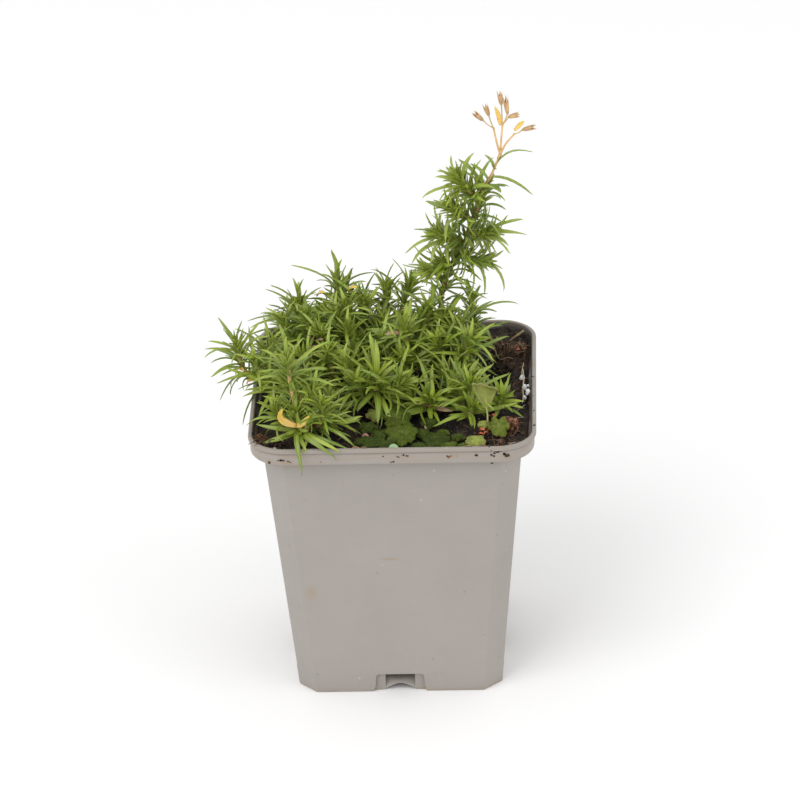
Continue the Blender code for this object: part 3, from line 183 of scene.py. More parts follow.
def speck_group():
    """Small scattered specks: a mask of uneven dots, of which a share are kept."""
    tree, given, made = shader_group(
        "specks", [("Scale", "NodeSocketFloat", 400.0), ("Size", "NodeSocketFloat", 0.2),
                   ("Kept", "NodeSocketFloat", 0.2)], [("Mask", "NodeSocketFloat")])
    place = add(tree, "ShaderNodeTexCoord").outputs["Object"]
    wobble = add(tree, "ShaderNodeTexNoise", {"Vector": place, "Scale": 1500.0}).outputs[1]
    nudged = add(tree, "ShaderNodeVectorMath", {0: wobble, 1: (0.0004, 0.0004, 0.0004)}, operation="MULTIPLY")
    moved = add(tree, "ShaderNodeVectorMath", {0: place, 1: nudged.outputs[0]}, operation="ADD").outputs[0]
    cells = add(tree, "ShaderNodeTexVoronoi", {"Vector": moved, "Scale": given["Scale"]})
    drawn = add(tree, "ShaderNodeSeparateColor", {0: cells.outputs["Color"]}).outputs[0]
    keep = maths(tree, "LESS_THAN", drawn, given["Kept"])
    edge = maths(tree, "DIVIDE", cells.outputs["Distance"], given["Size"])
    dot = ranged(tree, edge, 0.75, 1.0, 1.0, 0.0)
    tree.links.new(maths(tree, "MULTIPLY", keep, dot), made["Mask"])
    return tree


UNEVEN = uneven_group()
SPECKS = speck_group()


def material(name):
    """An empty procedural material: its node tree and its Principled shader."""
    made = bpy.data.materials.new(name)
    made.use_nodes = True
    return made, made.node_tree, made.node_tree.nodes["Principled BSDF"]


def grouped(tree, group, inputs):
    """A node group placed in a tree, with its inputs set or linked."""
    made = tree.nodes.new("ShaderNodeGroup")
    made.node_tree = group
    for key, value in inputs.items():
        if isinstance(value, bpy.types.NodeSocket):
            tree.links.new(value, made.inputs[key])
        elif isinstance(value, tuple):
            made.inputs[key].default_value = (*value, 1.0)
        else:
            made.inputs[key].default_value = value
    return made.outputs


def bumped(tree, shader, height, strength, distance):
    """Relief from a height, in metres, on a shader's normal."""
    made = add(tree, "ShaderNodeBump", {"Height": height, "Strength": strength, "Distance": distance})
    tree.links.new(made.outputs[0], shader.inputs["Normal"])


def plastic_material():
    """Moulded plastic: cloudy taupe grey with scuffs, clay stains and dried soil under the rim, and painted shade
    under the lip and the band, on the inner rim wall and inside the drain slots.
    """
    made, tree, shader = material("taupe_plastic")
    place = add(tree, "ShaderNodeTexCoord").outputs["Object"]
    base = grouped(tree, UNEVEN, {"Color": PLASTIC, "Patch": 38.0, "Spread": 0.035, "Grain": 2600.0})
    streaks = add(tree, "ShaderNodeMapping", {"Vector": place, "Rotation": (0.3, 0.2, 0.5),
                                              "Scale": (60.0, 160.0, 900.0)}).outputs[0]
    worn = add(tree, "ShaderNodeTexNoise", {"Vector": streaks, "Scale": 1.0, "Detail": 6.0,
                                            "Roughness": 0.7}).outputs[0]
    scuffs = ranged(tree, worn, 0.62, 0.8, 0.0, 0.5)
    colour = mixed(tree, scuffs, base["Color"], PLASTIC_SCUFF)
    pale = grouped(tree, SPECKS, {"Scale": 230.0, "Size": 0.12, "Kept": 0.16})["Mask"]
    colour = mixed(tree, maths(tree, "MULTIPLY", pale, 0.55), colour, PLASTIC_SCUFF)
    rubbed = grouped(tree, SPECKS, {"Scale": 190.0, "Size": 0.10, "Kept": 0.12})["Mask"]
    colour = mixed(tree, maths(tree, "MULTIPLY", rubbed, 0.6), colour, PLASTIC_RUBBED)
    height = add(tree, "ShaderNodeSeparateXYZ", {0: place}).outputs["Z"]
    for x, y, z, wide, high in STAIN_SPOTS:
        shape = {"Vector": place, "Location": (-x * MM, -y * MM, -z * MM)}
        moved = add(tree, "ShaderNodeMapping", shape).outputs[0]
        scaled = {"Vector": moved, "Scale": (1000 / wide, 1000 / wide, 1000 / high)}
        away = add(tree, "ShaderNodeVectorMath", {0: add(tree, "ShaderNodeMapping", scaled).outputs[0]},
                   operation="LENGTH").outputs["Value"]
        blot = ranged(tree, away, 0.2, 1.0, 0.55, 0.0)
        blot = maths(tree, "MULTIPLY", blot, ranged(tree, base["Patches"], 0.38, 0.55))
        colour = mixed(tree, blot, colour, CLAY_STAIN)
    clay = grouped(tree, SPECKS, {"Scale": 150.0, "Size": 0.11, "Kept": 0.14})["Mask"]
    colour = mixed(tree, maths(tree, "MULTIPLY", clay, 0.6), colour, CLAY_STAIN)
    near_rim = ranged(tree, height, (SHOULDER_Z - 3) * MM, (SHOULDER_Z + 1) * MM)
    grime = maths(tree, "MULTIPLY", near_rim, ranged(tree, worn, 0.45, 0.72, 0.0, 0.55))
    colour = mixed(tree, grime, colour, CLAY_STAIN)
    # dark lines round the pot: painted shade under the lip and the band, and a thin dirt film over both
    for low, high, strength in SHADE_AND_DIRT_LINES:
        line = maths(tree, "MULTIPLY", ranged(tree, height, (low - 0.25) * MM, low * MM),
                     ranged(tree, height, high * MM, (high + 0.25) * MM, strength, 0.0))
        line = maths(tree, "MULTIPLY", line, ranged(tree, base["Patches"], 0.3, 0.55, 0.5, 1.0))
        colour = mixed(tree, line, colour, PLASTIC_GRIME_AND_SHADE)
    straight = (RIM_HALF - RIM_CORNER) * MM
    folded = add(tree, "ShaderNodeVectorMath", {0: place}, operation="ABSOLUTE").outputs[0]
    past = add(tree, "ShaderNodeVectorMath", {0: folded, 1: (straight, straight, 9.0)}, operation="SUBTRACT")
    past = add(tree, "ShaderNodeVectorMath", {0: past.outputs[0], 1: (0.0, 0.0, 0.0)}, operation="MAXIMUM")
    away = add(tree, "ShaderNodeVectorMath", {0: past.outputs[0]}, operation="LENGTH").outputs["Value"]
    within = ranged(tree, away, (RIM_CORNER - 1.3) * MM, (RIM_CORNER - 1.0) * MM, 1.0, 0.0)
    # the inner rim wall, darker below the top of the lip: a soil film that is partly painted shade
    film_and_shade = maths(tree, "MULTIPLY", within, ranged(tree, height, 92.6 * MM, 93.7 * MM, 0.62, 0.0))
    colour = mixed(tree, maths(tree, "MULTIPLY", film_and_shade, ranged(tree, height, 86 * MM, 87 * MM)), colour,
                   SOIL_FILM_AND_SHADE)
    smeared = maths(tree, "MULTIPLY", within, ranged(tree, height, 91.5 * MM, 93.6 * MM, 0.85, 0.30))
    smeared = maths(tree, "MULTIPLY", smeared, ranged(tree, worn, 0.42, 0.58, 0.25, 1.0))
    colour = mixed(tree, maths(tree, "MULTIPLY", smeared, ranged(tree, height, 86 * MM, 87 * MM)), colour,
                   DRIED_SOIL_AND_SHADE)
    # inside each drain slot, darker towards its top: painted shade in the dried soil colour
    sides = [maths(tree, "ABSOLUTE", add(tree, "ShaderNodeSeparateXYZ", {0: place}).outputs[i]) for i in (0, 1)]
    slot = maths(tree, "LESS_THAN", maths(tree, "MINIMUM", *sides), (SLOT_HALF + 0.3) * MM)
    behind = ranged(tree, maths(tree, "MAXIMUM", *sides), (FOOT_HALF - 1.1) * MM, (FOOT_HALF - 0.9) * MM, 1.0, 0.0)
    slot_shade = maths(tree, "MULTIPLY", maths(tree, "MULTIPLY", slot, behind),
                   ranged(tree, height, 3.2 * MM, 5.0 * MM, 0.0, 0.97))
    slot_shade = maths(tree, "MULTIPLY", slot_shade, ranged(tree, height, 7.0 * MM, 7.2 * MM, 1.0, 0.0))
    colour = mixed(tree, slot_shade, colour, DRIED_SOIL_AND_SHADE)
    foot = ranged(tree, height, 0.2 * MM, 1.6 * MM, 0.45, 0.0)
    colour = mixed(tree, maths(tree, "MULTIPLY", foot, ranged(tree, worn, 0.4, 0.6)), colour, CLAY_STAIN)
    soil_dots = grouped(tree, SPECKS, {"Scale": 420.0, "Size": 0.18, "Kept": 0.12})["Mask"]
    colour = mixed(tree, maths(tree, "MULTIPLY", soil_dots, near_rim), colour, DRIED_SOIL_AND_SHADE)
    tree.links.new(colour, shader.inputs["Base Color"])
    tree.links.new(ranged(tree, worn, 0.3, 0.7, 0.40, 0.56), shader.inputs["Roughness"])
    relief = maths(tree, "ADD", base["Height"], maths(tree, "MULTIPLY", scuffs, 1.2))
    bumped(tree, shader, maths(tree, "ADD", relief, pale), 0.25, 0.0002)
    return made


def pot_level(half, corner, rounded, z):
    """One level of the pot's skin: its corners cut straight with soft edges, or round."""
    points = []
    bend = CORNER_POINTS // 2
    inset = SOFT_EDGE * math.tan(math.radians(22.5))
    for quarter in range(4):
        turn = Matrix.Rotation(math.radians(90 * quarter), 3, "Z")
        for step in range(CORNER_POINTS):
            if rounded:
                angle = math.radians(90 * step / (CORNER_POINTS - 1))
                middle = (half - corner, half - corner)
                radius = corner
            else:
                second = step >= bend
                angle = math.radians(45 * (step % bend) / (bend - 1) + 45 * second)
                middle = (half - SOFT_EDGE, half - corner - inset)
                middle = middle[::-1] if second else middle
                radius = SOFT_EDGE
            spot = (middle[0] + radius * math.cos(angle), middle[1] + radius * math.sin(angle), z)
            points.append(turn @ Vector(spot))
    return points


def body_half(z):
    """Half width of the tapered body's outside at a height."""
    return FOOT_HALF + (SHOULDER_HALF - FOOT_HALF) * z / SHOULDER_Z


def body_level(z, inward=0.0):
    """A level of the tapered body, drawn in from its outside."""
    cut = FOOT_CUT + (SHOULDER_CUT - FOOT_CUT) * z / SHOULDER_Z
    return pot_level(body_half(z) - inward, cut - 0.4 * inward, False, z)


def rim_level(half, z):
    """A level of the rim, with round corners that keep the wall's thickness."""
    return pot_level(half, RIM_CORNER - (RIM_HALF - half), True, z)


def lofted(levels):
    """A closed bmesh skin through levels of equal count, each end closed by a fan."""
    built = bmesh.new()
    rows = [[built.verts.new(point) for point in level] for level in levels]
    count = len(rows[0])
    for lower, upper in zip(rows, rows[1:]):
        for i in range(count):
            j = (i + 1) % count
            built.faces.new((lower[i], lower[j], upper[j], upper[i]))
    for row in (rows[0], rows[-1]):
        middle = built.verts.new(sum((v.co for v in row), Vector()) / count)
        for i in range(count):
            built.faces.new((row[i], row[(i + 1) % count], middle))
    return built


def solid(name, built):
    """An object from a bmesh in millimetres, its faces turned outwards."""
    bmesh.ops.recalc_face_normals(built, faces=built.faces)
    bmesh.ops.scale(built, vec=(MM, MM, MM), verts=built.verts)
    mesh = bpy.data.meshes.new(name)
    built.to_mesh(mesh)
    built.free()
    made = bpy.data.objects.new(name, mesh)
    bpy.context.scene.collection.objects.link(made)
    return made


def cut_away(target, cutters, solver):
    """Cut solids out of another in one Boolean, and remove them."""
    group = bpy.data.collections.new("cut_" + target.name)
    bpy.context.scene.collection.children.link(group)
    for cutter in cutters:
        group.objects.link(cutter)
    cut = target.modifiers.new("cut", "BOOLEAN")
    cut.operation = "DIFFERENCE"
    cut.operand_type = "COLLECTION"
    cut.collection = group
    cut.solver = solver
    settle(target)
    for cutter in cutters:
        bpy.data.objects.remove(cutter, do_unlink=True)
    bpy.data.collections.remove(group)


def settle(target):
    """Apply an object's modifiers to its mesh."""
    graph = bpy.context.evaluated_depsgraph_get()
    mesh = bpy.data.meshes.new_from_object(target.evaluated_get(graph))
    target.modifiers.clear()
    target.data = mesh


def put(piece, slot, *nodes):
    """Hand a finished piece to the frame: its body and the nodes it stands for, which are hidden. The slot is not
    used.
    """
    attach(piece, "root")
    if nodes:
        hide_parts(*nodes)
    return piece


def drawn_through(outline, near, far, turn, lean=False):
    """A cutter: an outline of x and z drawn through from one y to another, or to the leaning wall."""
    rows = []
    for y in (near, far):
        row = []
        for x, z in outline:
            shift = (body_half(z) - FOOT_HALF) if lean and y == far else 0.0
            row.append(turn @ Vector((x, y - shift, z)))
        rows.append(row)
    return solid("drain_cutter", lofted(rows))


def inner_blocks(clearance):
    """The plastic that stands in from the wall behind each recess and over each arch."""
    made = []
    low = -2.0
    for quarter in range(4):
        turn = Matrix.Rotation(math.radians(90 * quarter), 3, "Z")
        for half, high, inner in (
                (8.0, 6.7, FOOT_HALF - RECESS_DEPTH), (ARCH_HALF, ARCH_HEIGHT - 0.2, FOOT_HALF - ARCH_REACH),
                (SLOT_HALF, RAMP_TOP - POT_WALL, FOOT_HALF - SLOT_REACH + POT_WALL)):
            half = half + POT_WALL + clearance
            high = high + POT_WALL + clearance
            inner = inner - POT_WALL - clearance
            outline = [(-half, low), (half, low), (half, high), (-half, high)]
            made.append(drawn_through(outline, -(FOOT_HALF + 5), -inner, turn))
    return made


def arch_height(x):
    """Height of the arch under the pot's edge, at a place along it."""
    return ARCH_HEIGHT * math.cos(math.pi * x / ARCH_HALF / 2) ** 2 + 0.02


def slot_cutter(turn):
    """The slot's cutter: upright at the front, and its floor a ramp that climbs inwards."""
    steps = 12
    front, back = [], []
    for step in range(steps + 1):
        x = SLOT_HALF * (2 * step / steps - 1)
        front.append(turn @ Vector((x, -(FOOT_HALF - RECESS_DEPTH) - 0.2, arch_height(x) + RAMP_LIP)))
        back.append(turn @ Vector((x, -(FOOT_HALF - SLOT_REACH), RAMP_TOP)))
    for x in (SLOT_HALF, -SLOT_HALF):
        front.append(turn @ Vector((x, -(FOOT_HALF - RECESS_DEPTH) - 0.2, SLOT_TOP)))
        back.append(turn @ Vector((x, -(FOOT_HALF - SLOT_REACH), SLOT_TOP)))
    nearer = [point - turn @ Vector((0, 4.0, 0)) for point in front]
    deeper = [point + turn @ Vector((0, 3.0, 0)) for point in back]
    return solid("drain_cutter", lofted([nearer, front, back, deeper]))


def notch_cutters():
    """Recess, slot and arch for the middle of each side."""
    steps = 14
    arch = [(-ARCH_HALF, -1.0), (ARCH_HALF, -1.0)]
    for step in range(steps + 1):
        x = ARCH_HALF * (1 - 2 * step / steps)
        arch.append((x, arch_height(x)))
    made = []
    for quarter in range(4):
        turn = Matrix.Rotation(math.radians(90 * quarter), 3, "Z")
        made.append(drawn_through(RECESS_OUTLINE, -(FOOT_HALF + 5), -(FOOT_HALF - RECESS_DEPTH), turn, lean=True))
        made.append(slot_cutter(turn))
        made.append(drawn_through(arch, -(FOOT_HALF + 3), -(FOOT_HALF - ARCH_REACH), turn))
    return made


def outside_levels():
    """The pot's outer skin, from the foot up over the lip."""
    levels = [body_level(0.0, 0.45), body_level(0.12, 0.15), body_level(0.5, 0.0), body_level(7.1, 0.0),
              body_level(7.35, 0.1), body_level(60.0, 0.08), body_level(SHOULDER_Z - 0.5, 0.0),
              body_level(SHOULDER_Z, -0.05)]
    for inward, z in ((1.5, 87.9), (1.05, 88.05), (0.75, 88.45), (0.62, 89.0), (0.55, 91.7), (0.62, 92.1),
                      (0.5, 92.3), (0.1, 92.45), (0.0, 92.7), (0.0, 93.3), (0.1, 93.6), (0.38, POT_HEIGHT)):
        levels.append(rim_level(RIM_HALF - inward, z))
    return levels


def inside_levels(top):
    """The cavity, from the floor up to the mouth, with a soft inner edge at the lip."""
    levels = [body_level(POT_FLOOR, 1.8), body_level(POT_FLOOR + 0.8, 1.0), body_level(88.4, 1.0),
              rim_level(BAND_HALF - POT_WALL - 0.6, 89.5), rim_level(BAND_HALF - POT_WALL - 0.2, 89.9)]
    for inward, z in ((RIM_WALL, 93.2), (RIM_WALL - 0.08, 93.55), (RIM_WALL - 0.35, top), (RIM_WALL - 0.35, top + 2)):
        levels.append(rim_level(RIM_HALF - inward, z))
    return levels


cavity = solid("cavity", lofted(inside_levels(POT_HEIGHT)))
cut_away(cavity, inner_blocks(0.0), "EXACT")
pot = solid("pot_shell", lofted(outside_levels()))
cut_away(pot, [cavity] + notch_cutters(), "EXACT")
soften = pot.modifiers.new("soft_edges", "BEVEL")
soften.width = 0.22 * MM
soften.segments = 2
soften.limit_method = "ANGLE"
soften.angle_limit = math.radians(38)
settle(pot)
pot.data.shade_smooth()
pot.data.set_sharp_from_angle(angle=math.radians(32))
pot.data.materials.clear()
pot.data.materials.append(plastic_material())
put(pot, "pot_plastic", "pot")


# Peat: the growing medium that fills the pot nearly to its rim, dark brown, moist and crumbly. It was
# pressed in at potting, and has sunk into a hollow at the right and a dip at the front left corner.

PEAT_LEVEL = 89.9
PEAT_FOOT = 1.7
PEAT_GAP = 0.3              # clearance to the pot's wall
PEAT_RINGS = 66
PEAT_SIDE_POINTS = 56
PEAT_CORNER_POINTS = 14
POCKET_DEPTH = 9.0          # how far the peat stands back behind a drain slot
PEAT_DARK = (0.010, 0.008, 0.007)
PEAT_BROWN = (0.043, 0.030, 0.022)
PEAT_LIGHT = (0.150, 0.095, 0.058)
# where the plug tore at the back of the hollow, and how far the torn edge stands up
TORN_EDGE = [(31.0, 33.6), (33.4, 31.8), (35.4, 29.6), (37.0, 27.8), (39.5, 27.2), (41.4, 26.0)]
TORN_HEIGHT = 2.3
TORN_OFF = 44.9
TORN_SLOPE = 1.5
CRUMBS = 900
FIBRES = 420


def ground(x, y):
    """Mean height of the peat: lumps, a hollow at the right and a dip by the front left corner."""
    lumps = 0.55 * math.sin(0.21 * x + 1.3) * math.cos(0.17 * y) + 0.35 * math.sin(0.43 * x - 0.37 * y)
    hollow = 9.0 * math.exp(-((x - 33) ** 2 + (y - 16) ** 2) / 110)
    dip = 3.0 * math.exp(-((x + 32) ** 2 + (y + 33) ** 2) / 60)
    calm = min(1.0, max(0.0, (38.0 - max(abs(x), abs(y))) / 6))
    return PEAT_LEVEL + (lumps - hollow - dip) * calm


def crumbly(x, y):
    """Height of the peat's surface with its crumbs."""
    spot = Vector((x, y, 0.0))
    coarse = noise.fractal(spot * 0.22, 1.0, 2.1, 4)
    cell = noise.voronoi(spot * 0.42)[0][0]
    fine = noise.fractal(spot * 1.1 + Vector((7, 3, 1)), 0.8, 2.2, 3)
    behind = 0.59 * x + 0.81 * y - TORN_OFF
    raised = TORN_HEIGHT * min(1.0, max(0.0, behind / TORN_SLOPE + 1.0)) * (0.85 + 0.8 * fine)
    return ground(x, y) - 0.25 + 0.75 * coarse + 0.55 * (0.5 - cell) + 0.3 * fine + raised


def filled_level(half, corner, z, rounded=True):
    """A dense level of the peat, a square with its corners round or cut straight."""
    points = []
    for quarter in range(4):
        turn = Matrix.Rotation(math.radians(90 * quarter), 3, "Z")
        for step in range(PEAT_CORNER_POINTS):
            share = step / PEAT_CORNER_POINTS
            angle = math.radians(90 * share)
            bow = Vector((half - corner + corner * math.cos(angle), half - corner + corner * math.sin(angle), z))
            cut = Vector((half - corner * share, half - corner * (1 - share), z))
            points.append(turn @ (bow if rounded else cut))
        reach = half - corner
        for step in range(PEAT_SIDE_POINTS):
            points.append(turn @ Vector((reach - 2 * reach * step / PEAT_SIDE_POINTS, half, z)))
    return points


def peat_body():
    """The filled peat: its sides down the pot's wall, and its crumbly top in dense levels."""
    edge = BAND_HALF - POT_WALL - 0.6 - PEAT_GAP
    low = body_half(PEAT_FOOT) - POT_WALL - PEAT_GAP
    high = body_half(88.2) - POT_WALL - PEAT_GAP
    levels = [filled_level(low - 0.3, FOOT_CUT, PEAT_FOOT, rounded=False),
              filled_level(high - 0.3, SHOULDER_CUT, 88.2, rounded=False)]
    levels.append(filled_level(edge - 1.0, RIM_CORNER - 3, 88.9))
    for ring in range(PEAT_RINGS):
        share = 1.0 - ring / (PEAT_RINGS - 0.3)
        level = filled_level(edge * share, (RIM_CORNER - 2) * share, 0.0)
        levels.append([Vector((p.x, p.y, crumbly(p.x, p.y))) for p in level])
    body = solid("peat_bed", lofted(levels))
    blocks = inner_blocks(PEAT_GAP)
    for quarter in range(4):
        turn = Matrix.Rotation(math.radians(90 * quarter), 3, "Z")
        pocket = [(-6.0, 1.0), (6.0, 1.0), (6.2, 5.0), (4.8, 7.6), (0.0, 8.2), (-5.0, 7.4), (-6.3, 5.0)]
        blocks.append(drawn_through(pocket, -(FOOT_HALF + 5), -(FOOT_HALF - POCKET_DEPTH), turn))
    cut_away(body, blocks, "MANIFOLD")
    return body


def peat_material(name, dark, brown, light):
    """Moist peat: near black to mid brown in patches, with lighter fibre ends and a rough grain."""
    made, tree, shader = material(name)
    place = add(tree, "ShaderNodeTexCoord").outputs["Object"]
    base = grouped(tree, UNEVEN, {"Color": brown, "Patch": 230.0, "Spread": 0.75, "Grain": 1700.0})
    damp = add(tree, "ShaderNodeTexNoise", {"Vector": place, "Scale": 75.0, "Detail": 4.0}).outputs[0]
    colour = mixed(tree, ranged(tree, damp, 0.42, 0.6), base["Color"], dark)
    bits = grouped(tree, SPECKS, {"Scale": 700.0, "Size": 0.34, "Kept": 0.14})["Mask"]
    colour = mixed(tree, maths(tree, "MULTIPLY", bits, 0.7), colour, light)
    tree.links.new(colour, shader.inputs["Base Color"])
    tree.links.new(ranged(tree, base["Height"], 0.3, 0.7, 0.72, 0.98), shader.inputs["Roughness"])
    shader.inputs["Specular IOR Level"].default_value = 0.3
    rough = maths(tree, "ADD", base["Height"], maths(tree, "MULTIPLY", base["Patches"], 1.5))
    bumped(tree, shader, rough, 0.8, 0.0006)
    return made


peat_finish = peat_material("moist_peat", PEAT_DARK, PEAT_BROWN, PEAT_LIGHT)
peat = peat_body()
peat.data.shade_smooth()
peat.data.materials.clear()
peat.data.materials.append(peat_finish)
put(peat, "peat", "soil")


# Crumbs and fibres of the peat: loose lumps a millimetre or two across, and short strands of moss and
# root, lying on the surface as they fell.

FIBRE_BROWN = (0.130, 0.066, 0.034)
FIBRE_PALE = (0.27, 0.18, 0.11)
# where loose bits have gathered, each a middle and a spread
CROWDED = [(38.0, 25.0, 7.0), (36.5, -28.0, 7.5), (36.0, 8.0, 8.0), (-38.0, -33.0, 5.0), (33.0, -36.0, 6.0)]


def crumb(points, faces, centre, size, rng):
    """A rough lump, taken into a list of points and faces."""
    built = bmesh.new()
    bmesh.ops.create_icosphere(built, subdivisions=2 if size > 0.45 else 1, radius=1.0)
    built.verts.index_update()
    base = len(points)
    shift = Vector((rng.uniform(0, 50), rng.uniform(0, 50), rng.uniform(0, 50)))
    squash = Vector((rng.uniform(0.7, 1.2), rng.uniform(0.7, 1.2), rng.uniform(0.5, 0.9)))
    for vertex in built.verts:
        rough = 1.0 + 0.45 * noise.noise(vertex.co * 1.7 + shift)
        points.append(centre + Vector(v * s for v, s in zip(vertex.co * rough, squash)) * size)
    faces.extend([base + v.index for v in face.verts] for face in built.faces)
    built.free()


def sweep(points, faces, path, radii, sides):
    """A closed round rod along a path, taken into a list of points and faces."""
    base = len(points)
    count = len(path)
    side = (path[1] - path[0]).orthogonal().normalized()
    for number, (place, radius) in enumerate(zip(path, radii)):
        along = (path[min(number + 1, count - 1)] - path[max(number - 1, 0)]).normalized()
        side = (side - along * side.dot(along)).normalized()
        other = along.cross(side)
        for step in range(sides):
            angle = math.tau * step / sides
            points.append(place + (side * math.cos(angle) + other * math.sin(angle)) * radius)
    for level in range(count - 1):
        for step in range(sides):
            a = base + level * sides + step
            b = base + level * sides + (step + 1) % sides
            faces.append([a, b, b + sides, a + sides])
    faces.append([base + step for step in range(sides)][::-1])
    faces.append([base + (count - 1) * sides + step for step in range(sides)])


def piece(name, points, faces, finish, slot, nodes=(), values=None, uvs=None):
    """An object from lists in millimetres, with values kept on its points for its material to read."""
    mesh = bpy.data.meshes.new(name)
    mesh.from_pydata([p * MM for p in points], [], faces)
    for label, series in (values or {}).items():
        mesh.attributes.new(label, "FLOAT", "POINT").data.foreach_set("value", series)
    if uvs:
        layer = mesh.uv_layers.new(name="along_leaf")
        for loop in mesh.loops:
            layer.data[loop.index].uv = uvs[loop.vertex_index]
    mesh.shade_smooth()
    mesh.materials.append(finish)
    made = bpy.data.objects.new(name, mesh)
    bpy.context.scene.collection.objects.link(made)
    return put(made, slot, *nodes)


def on_peat(rng, reach):
    """A random place on the peat, more often where loose bits have gathered."""
    while True:
        if rng.random() < 0.35:
            x, y, spread = rng.choice(CROWDED)
            x += rng.gauss(0, spread * 0.5)
            y += rng.gauss(0, spread * 0.5)
        else:
            x = rng.uniform(-reach, reach)
            y = rng.uniform(-reach, reach)
        corner = math.hypot(max(0.0, abs(x) - (reach - 9)), max(0.0, abs(y) - (reach - 9)))
        if max(abs(x), abs(y)) < reach and corner < 9:
            return x, y


def strand(rng, x, y, length, lift, heading=None):
    """The path of one loose fibre that lies on the peat and curls up at places."""
    heading = rng.uniform(0, math.tau) if heading is None else heading
    bend = rng.uniform(-0.5, 0.5)
    steps = 7
    path = []
    for step in range(steps):
        rise = lift * math.sin(math.pi * step / (steps - 1)) ** 2
        path.append(Vector((x, y, crumbly(x, y) + 0.12 + rise)))
        heading += bend + rng.uniform(-0.25, 0.25)
        x += math.cos(heading) * length / steps
        y += math.sin(heading) * length / steps
        x = max(-41.3, min(41.3, x))
        y = max(-41.3, min(41.3, y))
    return path


crumb_rng = random.Random(31)
crumb_points, crumb_faces = [], []
for _ in range(CRUMBS):
    crumb_x, crumb_y = on_peat(crumb_rng, 41.0)
    crumb_size = 0.22 + 1.1 * crumb_rng.random() ** 3
    crumb_spot = Vector((crumb_x, crumb_y, crumbly(crumb_x, crumb_y) + crumb_size * 0.15))
    crumb(crumb_points, crumb_faces, crumb_spot, crumb_size, crumb_rng)
piece("peat_crumbs", crumb_points, crumb_faces, peat_finish, "peat")

fibre_rng = random.Random(32)
for fibre_name, fibre_colour, fibre_share in (("peat_fibres", FIBRE_BROWN, 0.8), ("pale_fibres", FIBRE_PALE, 0.2)):
    fibre_finish, fibre_tree, fibre_shader = material(fibre_name + "_finish")
    fibre_tone = grouped(fibre_tree, UNEVEN, {"Color": fibre_colour, "Patch": 300.0, "Spread": 0.5, "Grain": 3000.0})
    fibre_tree.links.new(fibre_tone["Color"], fibre_shader.inputs["Base Color"])
    fibre_shader.inputs["Roughness"].default_value = 0.8
    bumped(fibre_tree, fibre_shader, fibre_tone["Height"], 0.4, 0.0001)
    strand_points, strand_faces = [], []
    for _ in range(int(FIBRES * fibre_share)):
        strand_x, strand_y = on_peat(fibre_rng, 40.0)
        strand_path = strand(fibre_rng, strand_x, strand_y, fibre_rng.uniform(2.5, 8.0), fibre_rng.uniform(0.1, 1.2))
        strand_radius = fibre_rng.uniform(0.07, 0.2)
        strand_radii = [strand_radius * (1.0 - 0.5 * step / 6) for step in range(7)]
        sweep(strand_points, strand_faces, strand_path, strand_radii, 5)
    piece(fibre_name, strand_points, strand_faces, fibre_finish, "root_fibre")


# Leafy shoots: creeping stems about 1.6 mm thick, green and then orange-brown as they age, set with
# opposite pairs of narrow pointed leaves and tufts of small young ones in their axils. Each shoot is
# one piece, grown in place, its leaves joined to the stem.

STEM_DEPTH = 8.0            # how deep a stem stands in the peat
STEM_RADIUS = 0.75
STEM_SHOWN = 0.72           # the real stems are this much thinner than their sockets in the peat
LEAF_LENGTH = 15.0
LEAF_WIDTH = 1.68
LEAF_THICK = 0.30           # at the midrib
LEAF_STATIONS = (0.0, 0.08, 0.2, 0.36, 0.52, 0.68, 0.82, 0.93)
# across the leaf, the upper skin and then the lower one: place from edge to edge, and height over the
# edge as shares of the half width
LEAF_SECTION = ((-1.0, 0.0), (-0.55, 0.02), (0.0, -0.17), (0.55, 0.02), (1.0, 0.0))
LEAF_YOUNG = (0.390, 0.470, 0.045)
LEAF_GROWN = (0.232, 0.325, 0.024)
# the old leaves' deep green, dark enough to partly paint the shade among the low leaves
LEAF_OLD_AND_SHADED = (0.066, 0.126, 0.011)
LEAF_UNDER = (0.260, 0.345, 0.065)
LEAF_RIB = (0.450, 0.540, 0.130)
STEM_GREEN = (0.250, 0.300, 0.070)
STEM_ORANGE = (0.640, 0.390, 0.180)
STEM_BROWN = (0.200, 0.095, 0.050)


def smooth_path(points, steps):
    """A smooth line through the points (Catmull-Rom), with a few points in each span."""
    ends = [points[0] * 2 - points[1]] + points + [points[-1] * 2 - points[-2]]
    path = []
    for a, b, c, d in zip(ends, ends[1:], ends[2:], ends[3:]):
        for step in range(steps):
            t = step / steps
            path.append(0.5 * ((2 * b) + (c - a) * t + (2 * a - 5 * b + 4 * c - d) * t * t
                               + (3 * b - a - 3 * c + d) * t ** 3))
    path.append(points[-1].copy())
    return path


